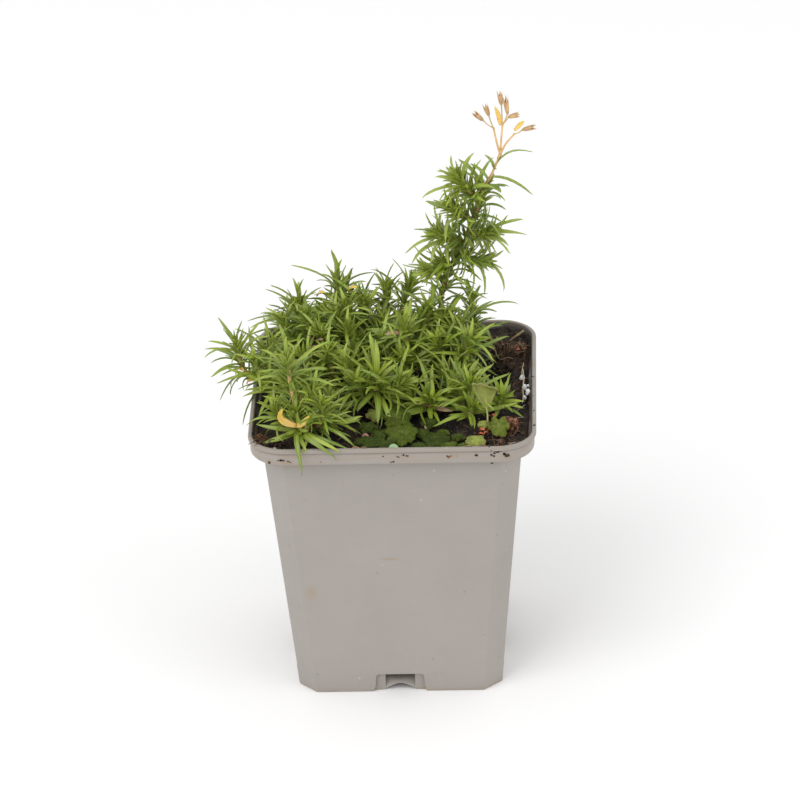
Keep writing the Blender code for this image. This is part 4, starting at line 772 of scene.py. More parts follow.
class Shoot:
    """A stem or side branch: its smooth path, its given leaf tips and where its leaves grow.

    Leaf pairs grow from `bare` to `leafy` millimetres below the tip, at most `spacing` apart. The
    leaves with given tips start no nearer to the tip than `reach`.
    """

    def __init__(self, points, tips=(), leafy=20.0, bare=0.5, spacing=4.0, thick=STEM_RADIUS,
                 swell=0.5, rooted=True, reach=0.5):
        self.thick = thick
        self.swell = swell
        self.tips = tips
        self.leafy = leafy
        self.bare = bare
        self.reach = reach
        self.spacing = spacing
        places = [Vector(p) for p in points]
        if rooted:
            x, y = points[0][:2]
            floor = ground(x, y)
            places[0] = Vector((x, y, floor + 1.0))
            path = smooth_path(places, 5)
            self.path = [Vector((x, y, floor - STEM_DEPTH)), Vector((x, y, floor - 1.0))] + path
        else:
            self.path = smooth_path(places, 5)

    def below_tip(self, distance):
        """The point and the direction of growth at a distance down from the tip."""
        left = distance
        for upper, lower in zip(self.path[::-1], self.path[-2::-1]):
            span = (upper - lower).length
            if left <= span:
                return upper.lerp(lower, left / span), (upper - lower).normalized()
            left -= span
        return self.path[0], (self.path[1] - self.path[0]).normalized()

    def levels(self, closest=1.0, growth=1.32, down_to=0.0):
        """Distances below the tip of the leaf pairs, close at the tip and wider below."""
        distances = []
        distance = self.bare
        step = (1.2 + 0.25 * self.bare) * closest
        while distance < max(self.leafy, down_to):
            distances.append(distance)
            distance += min(self.spacing * closest, step)
            step *= growth
        return distances


def opening(distance):
    """The angle between a leaf and the stem, which opens away from the young tip."""
    return math.radians(min(88.0, 18.0 + 19.0 * distance ** 0.75))


def leaf(root, tip, axis, arch, width, age):
    """A leaf as its root, middle, tip, upper side, width and age, its middle lifted by its arch."""
    run = tip - root
    along = run.normalized()
    over = axis - along * axis.dot(along)
    if over.length < 0.1:
        over = along.orthogonal()
    over.normalize()
    middle = root.lerp(tip, 0.48) + over * run.length * arch * (0.75 + 0.6 * age)
    return root, middle, tip, over, width, age


def set_leaves(shoot):
    """The leaves whose tips are given, each from the level that opens towards it best."""
    made = []
    for given in shoot.tips:
        tip = Vector(given[:3])
        arch = given[3] if len(given) > 3 else 0.09
        best = None
        for level in [shoot.reach + 1.5 * i for i in range(int(shoot.leafy / 1.5))]:
            root, axis = shoot.below_tip(level)
            run = tip - root
            miss = abs(run.angle(axis) - opening(level)) + 0.02 * max(0.0, run.length - 16)
            if best is None or miss < best[0]:
                best = (miss, root, axis, level)
        wide = given[4] if len(given) > 4 else 1.12
        made.append(leaf(best[1], tip, best[2], arch, LEAF_WIDTH * wide, min(1.0, best[3] / 16)))
    return made


def grown_leaves(shoot, kept, rng):
    """Opposite leaf pairs, each turned a quarter from the last, and small ones in their axils."""
    made = []
    turn = rng.uniform(0, math.pi)
    for number, level in enumerate(shoot.levels()):
        root, axis = shoot.below_tip(level)
        side = axis.orthogonal().normalized()
        other = axis.cross(side)
        turn += math.pi / 2 + rng.uniform(-0.25, 0.25)
        size = LEAF_LENGTH * (0.48 + 0.52 * min(1.0, level / 3.0))
        for half in (0, math.pi):
            spread = opening(level) + rng.uniform(-0.16, 0.16)
            around = side * math.cos(turn + half) + other * math.sin(turn + half)
            heading = axis * math.cos(spread) + around * math.sin(spread)
            heading.z += 0.12
            heading.normalize()
            reach = size * rng.uniform(0.82, 1.12)
            axil = (heading + axis * 0.9).normalized()
            axil_reach = reach * rng.uniform(0.42, 0.6)
            age = min(1.0, level / 16)
            if all((k[2] - k[0]).angle(heading) > 0.42 or (k[0] - root).length > 3.5 for k in kept):
                made.append(leaf(root, root + heading * reach, axis, rng.uniform(0.05, 0.19),
                                 LEAF_WIDTH * rng.uniform(0.86, 1.04), age))
            if level > 4.0 and number % 2 == 0:
                above = root + axis * 0.8
                made.append(leaf(above, above + axil * axil_reach, axis, 0.05, LEAF_WIDTH * 0.75, age * 0.6))
    return made


def filling_leaves(shoot, down_to, rng):
    """The many lesser leaves: half-grown pairs, axil tufts and the tight bud at the tip."""
    made = []
    turn = rng.uniform(0, math.pi)
    for level in shoot.levels(0.62, 1.2, down_to):
        root, axis = shoot.below_tip(level)
        side = axis.orthogonal().normalized()
        other = axis.cross(side)
        turn += math.pi / 2 + rng.uniform(-0.4, 0.4)
        for half in (0, math.pi):
            around = side * math.cos(turn + half) + other * math.sin(turn + half)
            spread = opening(level) * rng.uniform(0.75, 1.05)
            size = LEAF_LENGTH * (0.34 + 0.4 * min(1.0, level / 5.0)) * rng.uniform(0.75, 1.15)
            heading = (axis * math.cos(spread) + around * math.sin(spread) + Vector((0, 0, 0.1))).normalized()
            age = min(1.0, level / 16) * rng.uniform(0.5, 1.0)
            made.append(leaf(root, root + heading * size, axis, rng.uniform(0.04, 0.22),
                             LEAF_WIDTH * rng.uniform(0.62, 0.9), age))
            if level > 2.0:
                for _ in range(rng.choice((1, 2, 3))):
                    axil = (heading + axis * rng.uniform(0.5, 1.4) + other * rng.uniform(-0.5, 0.5)).normalized()
                    above = root + axis * rng.uniform(0.3, 1.2)
                    made.append(leaf(above, above + axil * LEAF_LENGTH * rng.uniform(0.22, 0.45), axis, 0.06,
                                     LEAF_WIDTH * rng.uniform(0.42, 0.62), age * 0.4))
    root, axis = shoot.below_tip(shoot.bare)
    if shoot.bare < 2.0:
        side = axis.orthogonal().normalized()
        other = axis.cross(side)
        for number in range(7):
            angle = 2.4 * number
            lean = 0.12 + 0.07 * number
            heading = (axis + (side * math.cos(angle) + other * math.sin(angle)) * lean).normalized()
            start = root - axis * 0.15 * number
            made.append(leaf(start, start + heading * LEAF_LENGTH * (0.26 + 0.05 * number), axis, 0.03,
                             LEAF_WIDTH * (0.4 + 0.05 * number), 0.0))
    return made


def side_branches(shoot, count, rng):
    """Short leafy branches from low on a stem, which fill the mound between the listed shoots."""
    made = []
    height = shoot.path[-1].z - ground(shoot.path[0].x, shoot.path[0].y)
    first = rng.uniform(0, math.tau)
    for number in range(count * 2):
        if len(made) == count:
            break
        root, axis = shoot.below_tip(height * rng.uniform(0.35, 0.85))
        angle = first + 2.4 * number + rng.uniform(-0.3, 0.3)
        out = Vector((math.cos(angle), math.sin(angle), 0.0))
        reach = rng.uniform(7.0, 13.0)
        end = root + out * reach * 0.75 + Vector((0, 0, reach * rng.uniform(0.35, 0.9)))
        middle = root + out * reach * 0.5 + Vector((0, 0, reach * 0.2))
        in_hollow = math.hypot(end.x - 33, end.y - 14) < 14 or end.x > 27
        in_front = end.y < -24 and end.x > -17
        if outside_rim(end) < -5 and not in_hollow and not in_front:
            made.append(Shoot([root, middle, end], leafy=reach * 0.9, thick=0.5, rooted=False))
    return made


def outside_rim(spot):
    """Distance of a point from the rim's outer line, seen from above: negative inside it."""
    qx = abs(spot.x) - (RIM_HALF - RIM_CORNER)
    qy = abs(spot.y) - (RIM_HALF - RIM_CORNER)
    return math.hypot(max(qx, 0.0), max(qy, 0.0)) + min(max(qx, qy), 0.0) - RIM_CORNER


def along_leaf(shape, t):
    """A point on the leaf's smooth middle line, which passes through its root, middle and tip."""
    root, middle, tip = shape[:3]
    pull = middle * 2 - (root + tip) * 0.5
    return root * (1 - t) ** 2 + pull * (2 * t * (1 - t)) + tip * t * t


# places that the leaves leave bare, each a middle and a reach: round the two yellow leaves and the
# orange length of stem above them, and the hollow that opens on the peat at the right
LEFT_BARE = [
    ((-32.8, -38.0, 100.2), 2.2), ((-34.0, -38.4, 103.0), 2.0), ((-33.0, -38.2, 105.2), 1.7),
    ((-32.8, -40.2, 101.4), 2.2), ((-34.0, -40.6, 104.2), 2.0), ((-30.0, -38.6, 99.2), 2.2),
    ((-29.6, -40.8, 100.4), 2.2), ((-27.2, -38.4, 100.4), 2.0), ((-27.2, -40.6, 101.6), 2.0),
    ((-25.5, -38.2, 102.4), 1.6), ((-30.0, -36.8, 105.5), 1.9), ((-30.6, -37.0, 109.5), 1.9),
    ((-30.2, -38.8, 106.6), 1.7), ((-30.8, -39.0, 110.6), 1.7),
    ((34.5, 12.0, 92.0), 6.0), ((38.0, 22.0, 94.0), 6.0), ((29.5, -27.0, 100.5), 3.4),
    ((42.0, 12.0, 114.0), 6.0), ((34.6, 14.0, 161.2), 1.6), ((34.5, 8.0, 104.5), 4.0),
    ((35.0, 15.0, 101.0), 4.4), ((35.0, 22.0, 97.5), 4.4), ((38.0, 27.0, 95.0), 5.0),
]


def leaf_is_free(shape):
    """Whether a leaf clears the peat and the pot's rim, and stays inside the part's box."""
    for t in (0.25, 0.4, 0.55, 0.7, 0.85, 1.0):
        spot = along_leaf(shape, t)
        if any(not low + 0.9 < value < high - 0.9 for value, low, high in zip(spot, BOX_LOW, BOX_HIGH)):
            return False
        if any((spot - Vector(middle)).length < reach for middle, reach in LEFT_BARE):
            return False
        away = outside_rim(spot)
        if away < -RIM_WALL - 0.5:
            if spot.z < ground(spot.x, spot.y) + 0.4:
                return False
        elif spot.z < POT_HEIGHT + 0.5 and away < 0.6:
            return False
        elif away >= 0.6 and spot.z < SHOULDER_Z and away + (RIM_HALF - body_half(spot.z)) < 0.6:
            return False
    return True


def freed(shape):
    """The leaf as it is, or lifted or shortened until it is free, or nothing."""
    root, middle, tip, over, width, age = shape
    for lift, shorter in ((0.0, 1.0), (0.15, 1.0), (0.3, 0.97), (-0.15, 0.95), (0.5, 0.92), (0.7, 0.88),
                          (0.0, 0.85), (0.3, 0.75), (0.0, 0.65), (0.6, 0.6)):
        along = (tip - root).normalized()
        turn = Matrix.Rotation(lift, 3, along.cross(over))
        tried = (root, root + turn @ (middle - root) * shorter, root + turn @ (tip - root) * shorter,
                 turn @ over, width, age)
        if leaf_is_free(tried):
            return tried
    return None


BOX_LOW, BOX_HIGH = ([value / MM for value in corner] for corner in cad_box)


class Foliage:
    """The points, faces and per-point values of one shoot."""

    def __init__(self):
        self.points = []
        self.faces = []
        self.uvs = []
        self.values = {"age": [], "tone": [], "under": []}
        self.stem_from = 0

    def keep(self, uv, age, tone, under):
        """The values of the point just added."""
        self.uvs.append(uv)
        self.values["age"].append(age)
        self.values["tone"].append(tone)
        self.values["under"].append(under)

    def add_leaf(self, shape, rng):
        """A narrow pointed leaf: channelled above, keeled below, arched along its middle line."""
        root, middle, tip, over, width, age = shape
        tone = rng.random()
        twist = rng.uniform(-0.8, 0.8)
        wave = rng.uniform(0, math.tau)
        length = (tip - root).length
        fold = rng.uniform(0.12, 0.42)
        base = len(self.points)
        for t in LEAF_STATIONS:
            place = along_leaf(shape, t)
            ahead = along_leaf(shape, min(1.0, t + 0.02)) - along_leaf(shape, max(0.0, t - 0.02))
            along = ahead.normalized()
            across = along.cross(over).normalized()
            up = across.cross(along)
            turn = Matrix.Rotation(twist * t * t, 3, along)
            across = turn @ across
            up = turn @ up
            swell = 0.48 + 0.52 * math.sin(min(1.0, t / 0.36) * math.pi / 2)
            half = width / 2 * swell * (1 - t ** 4.6) ** 0.9
            thick = LEAF_THICK * (0.45 + 0.55 * half / (width / 2)) * (1.25 if t < 0.1 else 1.0)
            place = place + across * 0.035 * length * math.sin(wave + 4 * t) * t
            for x, z in LEAF_SECTION:
                spot = place + across * x * half + up * (abs(x) * fold * half + z * half * 0.6)
                self.points.append(spot)
                self.keep((0.5 + x / 2, t), age, tone, 0.0)
            for x, deep in ((0.5, 0.62), (0.0, 1.0), (-0.5, 0.62)):
                spot = place + across * x * half + up * (abs(x) * fold * half - thick * deep)
                self.points.append(spot)
                self.keep((0.5 + x / 2, t), age, tone, 1.0)
        self.points.append(tip.copy())
        self.keep((0.5, 1.0), age, tone, 0.0)
        ring = len(LEAF_SECTION) + 3
        for level in range(len(LEAF_STATIONS) - 1):
            for step in range(ring):
                a = base + level * ring + step
                b = base + level * ring + (step + 1) % ring
                self.faces.append([a, b, b + ring, a + ring])
        last = base + (len(LEAF_STATIONS) - 1) * ring
        for step in range(ring):
            self.faces.append([last + step, last + (step + 1) % ring, base + len(LEAF_STATIONS) * ring])
        self.faces.append([base + step for step in range(ring)][::-1])

    def add_stem(self, shoot, aged):
        """The stem as a rod with swollen joints, thicker where the leaves crowd."""
        count = len(shoot.path)
        radii = []
        for number in range(count):
            share = number / (count - 1)
            bulge = 1.0 + 0.08 * math.sin(number * 1.9)
            radii.append(shoot.thick * STEM_SHOWN * (0.92 + shoot.swell * share) * bulge)
        radii[-1] *= 0.55
        before = len(self.points)
        sweep(self.points, self.faces, shoot.path, radii, 8)
        for number in range(len(self.points) - before):
            share = 1.0 - (number // 8) / (count - 1)
            self.keep((number % 8 / 8, share), min(1.0, aged + share), 0.5, 0.0)


# The leafy stems, each seeded by its place in this order. Each has its main stem first and then its
# side branches. Points and leaf tips are in millimetres.
LEAFY_STEMS = {
    "leafy_stem_front_left": [
        Shoot([(-27.5, -32), (-28.5, -33, 96), (-30, -34, 105), (-31, -34, 113), (-31.5, -34, 119)],
              tips=[(-34, -32, 131.5), (-31, -36, 129), (-26, -31, 126), (-19, -38, 118), (-18, -31, 124),
                    (-42, -36, 122), (-19, -30, 114, 0.12), (-43, -31, 111, 0.12), (-24, -40, 117),
                    (-36, -42, 119)],
              leafy=11.0),
        Shoot([(-28.4, -33, 95), (-29.4, -33.6, 99), (-29.6, -34.4, 101.5)],
              tips=[(-40, -34, 98, 0.14), (-43, -30, 97), (-35, -24, 105), (-22.5, -37, 104.5)],
              leafy=6.0, thick=0.7, rooted=False),
        Shoot([(-28.2, -32.8, 93.5), (-28.4, -34.4, 95.0), (-28.6, -36.2, 96.0)],
              tips=[(-27.8, -49.0, 86.6, 0.40, 1.2), (-26.2, -45.9, 93.0, 0.22), (-16.6, -46.2, 90.6, 0.34),
                    (-15.2, -46.0, 92.6, 0.26), (-40.8, -37.8, 92.4, 0.1, 1.35), (-42.4, -33.0, 97.0, 0.1)],
              leafy=3.0, thick=0.6, rooted=False),
    ],
    "leafy_stem_left": [
        Shoot([(-36, -6), (-39, -5.5, 96), (-44, -5, 99.5), (-47, -5, 102), (-48.3, -5, 106), (-49, -5, 110.5)],
              tips=[(-47, -4, 119), (-53, -6, 117.5), (-58, -7, 113), (-60.5, -5, 106, 0.14),
                    (-46, -3, 114), (-38, -7, 115, 0.12), (-57, -3, 99), (-55, -9, 93), (-52, -1, 91, 0.12),
                    (-57.5, -10, 102)],
              leafy=17.0),
        Shoot([(-40.5, -5.4, 97.5), (-42, -8, 102), (-42.6, -9.5, 106)], leafy=7.0, rooted=False),
        Shoot([(-37.4, -5.7, 94.6), (-38.2, -9.4, 97.4), (-38.6, -12, 100.6)], leafy=8.0, rooted=False),
        Shoot([(-39.4, -5.4, 96.6), (-39.6, -1.8, 99.6), (-40, 1.4, 103)], leafy=8.0, rooted=False),
    ],
    "leafy_stem_front_centre": [
        Shoot([(-6.5, -11), (-6, -12, 95), (-5.4, -14, 99), (-5, -15.5, 103)],
              tips=[(-6.5, -10, 117.5, 0.06, 1.3), (-5, -15, 117, 0.06, 1.3), (-10, -12, 113.5), (-17, -13, 113),
                    (-19, -16, 108), (-16, -20, 102), (-11, -24, 96), (-4.4, -26, 92.6, 0.12, 1.35),
                    (0, -25, 91, 0.14, 1.2),
                    (4.5, -17, 99), (6, -20, 98), (7, -12, 104.5), (2, -11, 107), (0.5, -17, 111),
                    (-9, -18, 112), (-12, -22, 106)],
              leafy=11.0),
    ],
    "tall_stem": [
        Shoot([(12, 14), (13, 14.5, 100), (14.5, 15, 112), (16.5, 15, 121), (18.5, 15, 127.5),
               (22, 15, 134), (25, 15, 141), (27.5, 15, 147.5), (29, 15, 153), (31.8, 15, 158.5),
               (34.2, 15, 164.3)],
              tips=[(45, 13, 152.5, 0.1), (46, 14, 165, 0.22), (30, 16, 165.5), (35, 17, 152),
                    (32.4, 13.4, 162.8, 0.05, 1.5), (34.8, 11.5, 154.2, 0.12, 1.5), (25, 19, 161)],
              leafy=55.0, bare=12.5, spacing=6.5, thick=0.95, swell=-0.35, reach=2.0),
        Shoot([(28.4, 15, 150.5), (25, 14, 154), (21.8, 14, 158)],
              tips=[(15, 12, 162), (19.5, 15, 166), (26, 12, 167), (10, 13, 152, 0.12), (14, 18, 157),
                    (15.5, 10, 151)],
              leafy=9.0, rooted=False),
        Shoot([(26, 15, 144), (22.8, 13.6, 145.6), (20.2, 13, 148.2)],
              tips=[(13.5, 11, 149.5), (17, 12, 156)],
              leafy=8.0, rooted=False),
        Shoot([(23, 15, 136), (19, 14, 137), (15.5, 13.5, 139)],
              tips=[(11, 14, 147), (7, 12, 142), (4, 14, 132.5, 0.13), (6, 17, 127.5, 0.13), (15.5, 16, 146)],
              leafy=9.0, rooted=False),
        Shoot([(24.3, 15, 139), (27.5, 14, 139), (30.5, 13.5, 140)],
              tips=[(37, 14, 145.5), (42, 13, 144), (43, 15, 138), (37, 12, 135.5), (32, 14, 128),
                    (30, 15, 149)],
              leafy=8.0, rooted=False),
        Shoot([(19, 15, 128.5), (16.5, 13.5, 128.6), (13.5, 12.5, 128)],
              tips=[(8, 14, 130.5), (3, 13, 129.5), (6, 11, 126.5), (10, 12, 123)],
              leafy=7.0, rooted=False),
        Shoot([(21, 15, 132), (24.5, 14.2, 130.5), (27.5, 14, 130)],
              tips=[(35, 13, 127), (35, 12, 119.5, 0.25), (29, 13, 118, 0.14)],
              leafy=7.0, rooted=False),
    ],
    "leafy_stem_right": [
        Shoot([(17, 4), (18, 4.5, 98), (19, 5, 104), (20, 5, 109)],
              tips=[(13, 4, 115.5), (14.5, 0, 107.5), (28, 0, 98, 0.12), (24, -2, 102), (30.5, 6, 109),
                    (31.5, 3, 107), (32, 0, 105), (20, 5, 118), (23, 1, 105), (32, 9, 118), (35, 7, 110)],
              leafy=18.0),
    ],
    "leafy_stem_left_top": [
        Shoot([(-27, 12), (-28.5, 13.5, 99), (-29.5, 15, 107), (-30, 15, 114)],
              tips=[(-41, 16, 120), (-39, 13, 123), (-32, 16, 124), (-28, 14, 124.5), (-47, 13, 110),
                    (-46.5, 18, 105, 0.12), (-42, 20, 109)],
              leafy=22.0),
    ],
    "leafy_stem_centre": [
        Shoot([(3, 3), (3.2, 2.5, 99), (3.8, 1, 107), (4, 0, 113)],
              tips=[(5, 1, 122), (0, -1, 121.5), (11, -1, 117), (-4, -5, 112), (-4, -8, 108.5, 0.13),
                    (12.5, -4, 108), (5, -8, 109, 0.13)],
              leafy=20.0),
    ],
    "leafy_stem_back_left": [
        Shoot([(-15, 21), (-16, 22, 100), (-17.5, 24, 110), (-18, 25, 117.5)],
              tips=[(-19.4, 25, 129.5), (-33, 23, 125), (-16.5, 27, 125), (-14, 22, 121.5),
                    (-6, 25, 121, 0.13), (-8.5, 20, 120)],
              leafy=22.0),
    ],
    "leafy_stem_centre_back": [
        Shoot([(8, 10), (9, 10, 99), (10.5, 10, 107), (11.4, 10, 114.5)],
              tips=[(12, 10, 126), (3.5, 8, 122), (17, 8, 121), (17, 5, 117)],
              leafy=21.0),
    ],
    "leafy_stem_mound": [
        Shoot([(-23, 3), (-24.5, 5, 99), (-26.5, 7, 107), (-27.5, 8, 113)],
              tips=[(-19, 6, 109.5, 0.2), (-17, 8, 115, 0.16), (-20, 3, 108, 0.2), (-24, 6, 121),
                    (-24, 1, 115)],
              leafy=21.0),
    ],
    "leafy_stem_back_middle": [
        Shoot([(-3, 24), (-3, 26, 100), (-3, 27.5, 107), (-2.7, 28, 112.5)],
              tips=[(-6, 28, 121.5), (0, 29, 122.5), (3.5, 28, 120), (-12, 27, 114), (-10, 24, 111)],
              leafy=20.0),
    ],
    "leafy_stem_front_low": [
        Shoot([(11, -14), (11.4, -15.5, 93), (12, -17.5, 96.5)],
              tips=[(-1.5, -21, 92, 0.1, 1.6), (5.5, -17, 101), (5.5, -20, 98.5), (7, -11, 110, 0.16),
                    (12, -24, 92), (17, -22, 99)],
              leafy=7.0),
    ],
    "leafy_stem_front_right": [
        Shoot([(32.5, -13), (33, -14, 92), (34, -16, 95.5)],
              tips=[(31.5, -15, 103.5), (34, -17, 103.5), (37, -14, 100), (38, -17, 98), (41.5, -18, 96),
                    (41, -20, 94.5), (37.5, -22, 94), (29, -14, 99), (28, -20, 96)],
              leafy=6.5),
    ],
    "leafy_stem_right_low": [
        Shoot([(21, -7), (21.8, -8, 94), (22.8, -9.5, 99)],
              tips=[(19, -9, 106), (16.5, -11, 104.5), (22.5, -7, 105), (28.5, -10, 100.5)],
              leafy=9.0),
    ],
    "leafy_stem_front_mid": [
        Shoot([(23.5, -17), (24, -18.5, 92), (25, -20, 94.5)],
              tips=[(18.5, -20, 97), (20, -26, 93.5), (24.5, -28, 92.5), (13.5, -17, 99), (22, -19, 101),
                    (12.2, -28.4, 92.8, 0.12, 1.1),
                    (30, -24, 97)],
              leafy=6.0),
    ],
    "leafy_stem_right_back": [
        Shoot([(24, 11), (24.5, 12, 98), (24.8, 13.5, 108), (24.8, 14, 115)],
              tips=[(28, 14, 118), (21.5, 13, 121), (30, 12, 112)],
              leafy=21.0),
    ],
    "leafy_stem_brush": [
        Shoot([(-26, -26), (-25.5, -27.5, 93), (-23.5, -29.5, 95.3), (-20, -30.5, 96)],
              tips=[(-9.5, -31, 97.5), (-12.5, -34, 95), (-12, -28, 102), (-16, -29, 105.5), (-19, -30, 108.5),
                    (-11, -35, 94.5), (-14, -39, 93.5), (-9, -27, 96), (-15, -32, 101), (-20, -38, 99)],
              leafy=9.0),
    ],
    "leafy_stem_mid_left": [
        Shoot([(-17, -5), (-18, -6, 97), (-19.5, -7, 103), (-20, -8, 107.5)],
              tips=[(-13, -12, 112), (-22, -17, 108)],
              leafy=17.0),
    ],
    "leafy_stem_middle": [
        Shoot([(-9, 5), (-10, 5, 98), (-12, 5, 104), (-13.5, 5, 109.5)],
              tips=[(-8, 1, 116), (-15, 0, 117)],
              leafy=18.0),
    ],
    "leafy_stem_back_mid_left": [
        Shoot([(-11, 13), (-12, 13.5, 99), (-14, 14, 107), (-15, 14, 113.5)],
              tips=[(-9, 12, 120)],
              leafy=20.0),
    ],
}


def leaf_material():
    """Living leaf: fresh yellow-green when young, deeper with age, a darkening that partly paints the shade low in the
    mound, a pale midrib, fine veins, a sheen.
    """
    made, tree, shader = material("phlox_leaf")
    age = add(tree, "ShaderNodeAttribute", attribute_name="age").outputs["Fac"]
    tone = add(tree, "ShaderNodeAttribute", attribute_name="tone").outputs["Fac"]
    under = add(tree, "ShaderNodeAttribute", attribute_name="under").outputs["Fac"]
    flat = add(tree, "ShaderNodeUVMap", uv_map="along_leaf").outputs[0]
    parts = add(tree, "ShaderNodeSeparateXYZ", {0: flat})
    across = maths(tree, "ABSOLUTE", maths(tree, "SUBTRACT", parts.outputs[0], 0.5))
    colour = mixed(tree, ranged(tree, age, -0.16, 0.26), LEAF_YOUNG, LEAF_GROWN)
    # older leaves, low inside the mound, turn deep green: partly their age and partly painted shade
    colour = mixed(tree, ranged(tree, age, 0.35, 1.0), colour, LEAF_OLD_AND_SHADED)
    colour = mixed(tree, ranged(tree, tone, 0.55, 1.0, 0.0, 0.45), colour, LEAF_YOUNG)
    colour = mixed(tree, ranged(tree, tone, 0.0, 0.40, 0.62, 0.0), colour, LEAF_OLD_AND_SHADED)
    patchy = grouped(tree, UNEVEN, {"Color": colour, "Patch": 260.0, "Spread": 0.16, "Grain": 1400.0})
    colour = mixed(tree, maths(tree, "MULTIPLY", under, 0.55), patchy["Color"], LEAF_UNDER)
    rib = ranged(tree, across, 0.02, 0.085, 0.5, 0.0)
    colour = mixed(tree, rib, colour, LEAF_RIB)
    margin = ranged(tree, across, 0.42, 0.5, 0.0, 0.35)
    colour = mixed(tree, margin, colour, LEAF_RIB)
    foot = ranged(tree, parts.outputs[1], 0.0, 0.16, 0.55, 0.0)
    colour = mixed(tree, foot, colour, LEAF_RIB)
    tree.links.new(ranged(tree, patchy["Patches"], 0.3, 0.7, 0.24, 0.42), shader.inputs["Roughness"])
    shader.inputs["Specular IOR Level"].default_value = 0.65
    shader.inputs["Subsurface Weight"].default_value = 0.14
    shader.inputs["Subsurface Radius"].default_value = (0.7, 1.0, 0.25)
    shader.inputs["Subsurface Scale"].default_value = 0.0006
    along = {"Vector": flat, "Scale": (9.0, 1.3, 1.0)}
    stretched = add(tree, "ShaderNodeMapping", along).outputs[0]
    offset = add(tree, "ShaderNodeCombineXYZ", {2: maths(tree, "MULTIPLY", tone, 40.0)}).outputs[0]
    stretched = add(tree, "ShaderNodeVectorMath", {0: stretched, 1: offset}, operation="ADD").outputs[0]
    streaks = add(tree, "ShaderNodeTexNoise", {"Vector": stretched, "Scale": 1.0, "Detail": 2.0}).outputs[0]
    colour = mixed(tree, ranged(tree, streaks, 0.52, 0.72, 0.0, 0.38), colour, LEAF_RIB)
    colour = mixed(tree, ranged(tree, streaks, 0.30, 0.46, 0.40, 0.0), colour, LEAF_OLD_AND_SHADED)
    tree.links.new(colour, shader.inputs["Base Color"])
    veins = maths(tree, "SINE", maths(tree, "MULTIPLY", parts.outputs[0], 44.0))
    relief = maths(tree, "ADD", maths(tree, "MULTIPLY", veins, 0.25), patchy["Height"])
    bumped(tree, shader, relief, 0.35, 0.0001)
    return made


def stem_material():
    """Stem skin: green near the tip, then orange and reddish brown where it is old."""
    made, tree, shader = material("phlox_stem")
    age = add(tree, "ShaderNodeAttribute", attribute_name="age").outputs["Fac"]
    colour = mixed(tree, ranged(tree, age, 0.12, 0.35), STEM_GREEN, STEM_ORANGE)
    colour = mixed(tree, ranged(tree, age, 0.45, 0.95), colour, STEM_BROWN)
    patchy = grouped(tree, UNEVEN, {"Color": colour, "Patch": 420.0, "Spread": 0.3, "Grain": 2200.0})
    tree.links.new(patchy["Color"], shader.inputs["Base Color"])
    tree.links.new(ranged(tree, patchy["Patches"], 0.3, 0.7, 0.45, 0.7), shader.inputs["Roughness"])
    bumped(tree, shader, patchy["Height"], 0.4, 0.0001)
    return made


# how a shoot differs from the rest: how many side branches fill in round it, and shares of the usual
# leaf width and arch
USUAL_GROWTH = (4, 0.88, 1.35)
GROWTH = {
    "tall_stem": (0, 1.02, 1.1), "leafy_stem_front_left": (5, 0.86, 1.2), "leafy_stem_left": (3, 0.8, 1.2),
    "leafy_stem_front_low": (2, 0.95, 1.1), "leafy_stem_front_right": (1, 0.85, 1.0),
    "leafy_stem_right_low": (2, 0.82, 1.1), "leafy_stem_front_mid": (1, 0.82, 1.1),
    "leafy_stem_brush": (2, 0.74, 1.3), "leafy_stem_mound": (5, 0.74, 1.7), "leafy_stem_left_top": (4, 0.82, 1.5),
    "leafy_stem_back_left": (4, 0.85, 1.3), "leafy_stem_front_centre": (4, 0.92, 1.1),
    "leafy_stem_mid_left": (4, 0.82, 1.5),
}
FILLED_TWICE = ("tall_stem", "leafy_stem_mound")
# the shoots that stand in the open stay younger and lighter
FRESHER = {"tall_stem": 0.4, "leafy_stem_front_left": 0.6, "leafy_stem_left": 0.6}

# how old a main stem's top looks, where it isn't green to the tip
TOP_AGE = {"tall_stem": 0.42, "leafy_stem_front_left": 0.12}
leaf_finish = leaf_material()
stem_finish = stem_material()
for order, (node, shoots) in enumerate(LEAFY_STEMS.items()):
    grown_rng = random.Random(100 + order)
    fill_rng = random.Random(500 + order)
    foliage = Foliage()
    extra, slim, curl = GROWTH.get(node, USUAL_GROWTH)
    branches = side_branches(shoots[0], extra, fill_rng)
    for number, shoot in enumerate(shoots + branches):
        kept = set_leaves(shoot)
        height = shoot.path[-1].z - ground(shoot.path[0].x, shoot.path[0].y)
        down_to = height - 3.0 if number == 0 and node != "tall_stem" else 0.0
        shapes = kept + grown_leaves(shoot, kept, grown_rng) + filling_leaves(shoot, down_to, fill_rng)
        if node in FILLED_TWICE:
            shapes += filling_leaves(shoot, down_to, fill_rng)
        for root, bend, tip, over, width, age in shapes:
            straight = root.lerp(tip, 0.48)
            bend = straight + (bend - straight) * curl
            shape = freed((root, bend, tip, over, width * slim, age * FRESHER.get(node, 1.0)))
            if shape:
                foliage.add_leaf(shape, fill_rng)
    leaf_faces = len(foliage.faces)
    for number, shoot in enumerate(shoots + branches):
        foliage.add_stem(shoot, 0.0 if number else TOP_AGE.get(node, 0.05))
    made = piece(node.replace("leafy_stem", "shoot").replace("tall_stem", "shoot_tall"), foliage.points,
                 foliage.faces, leaf_finish, "leaf_green", (node,), values=foliage.values, uvs=foliage.uvs)
    made.data.materials.append(stem_finish)
    made.data.polygons.foreach_set(
        "material_index", [int(i >= leaf_faces) for i in range(len(foliage.faces))])


# Dried seed head on the tall shoot: a straw-coloured stalk that forks into three thin branches, each
# ending in tan, ribbed calyces with five pointed teeth. The flowers and seeds have dropped.

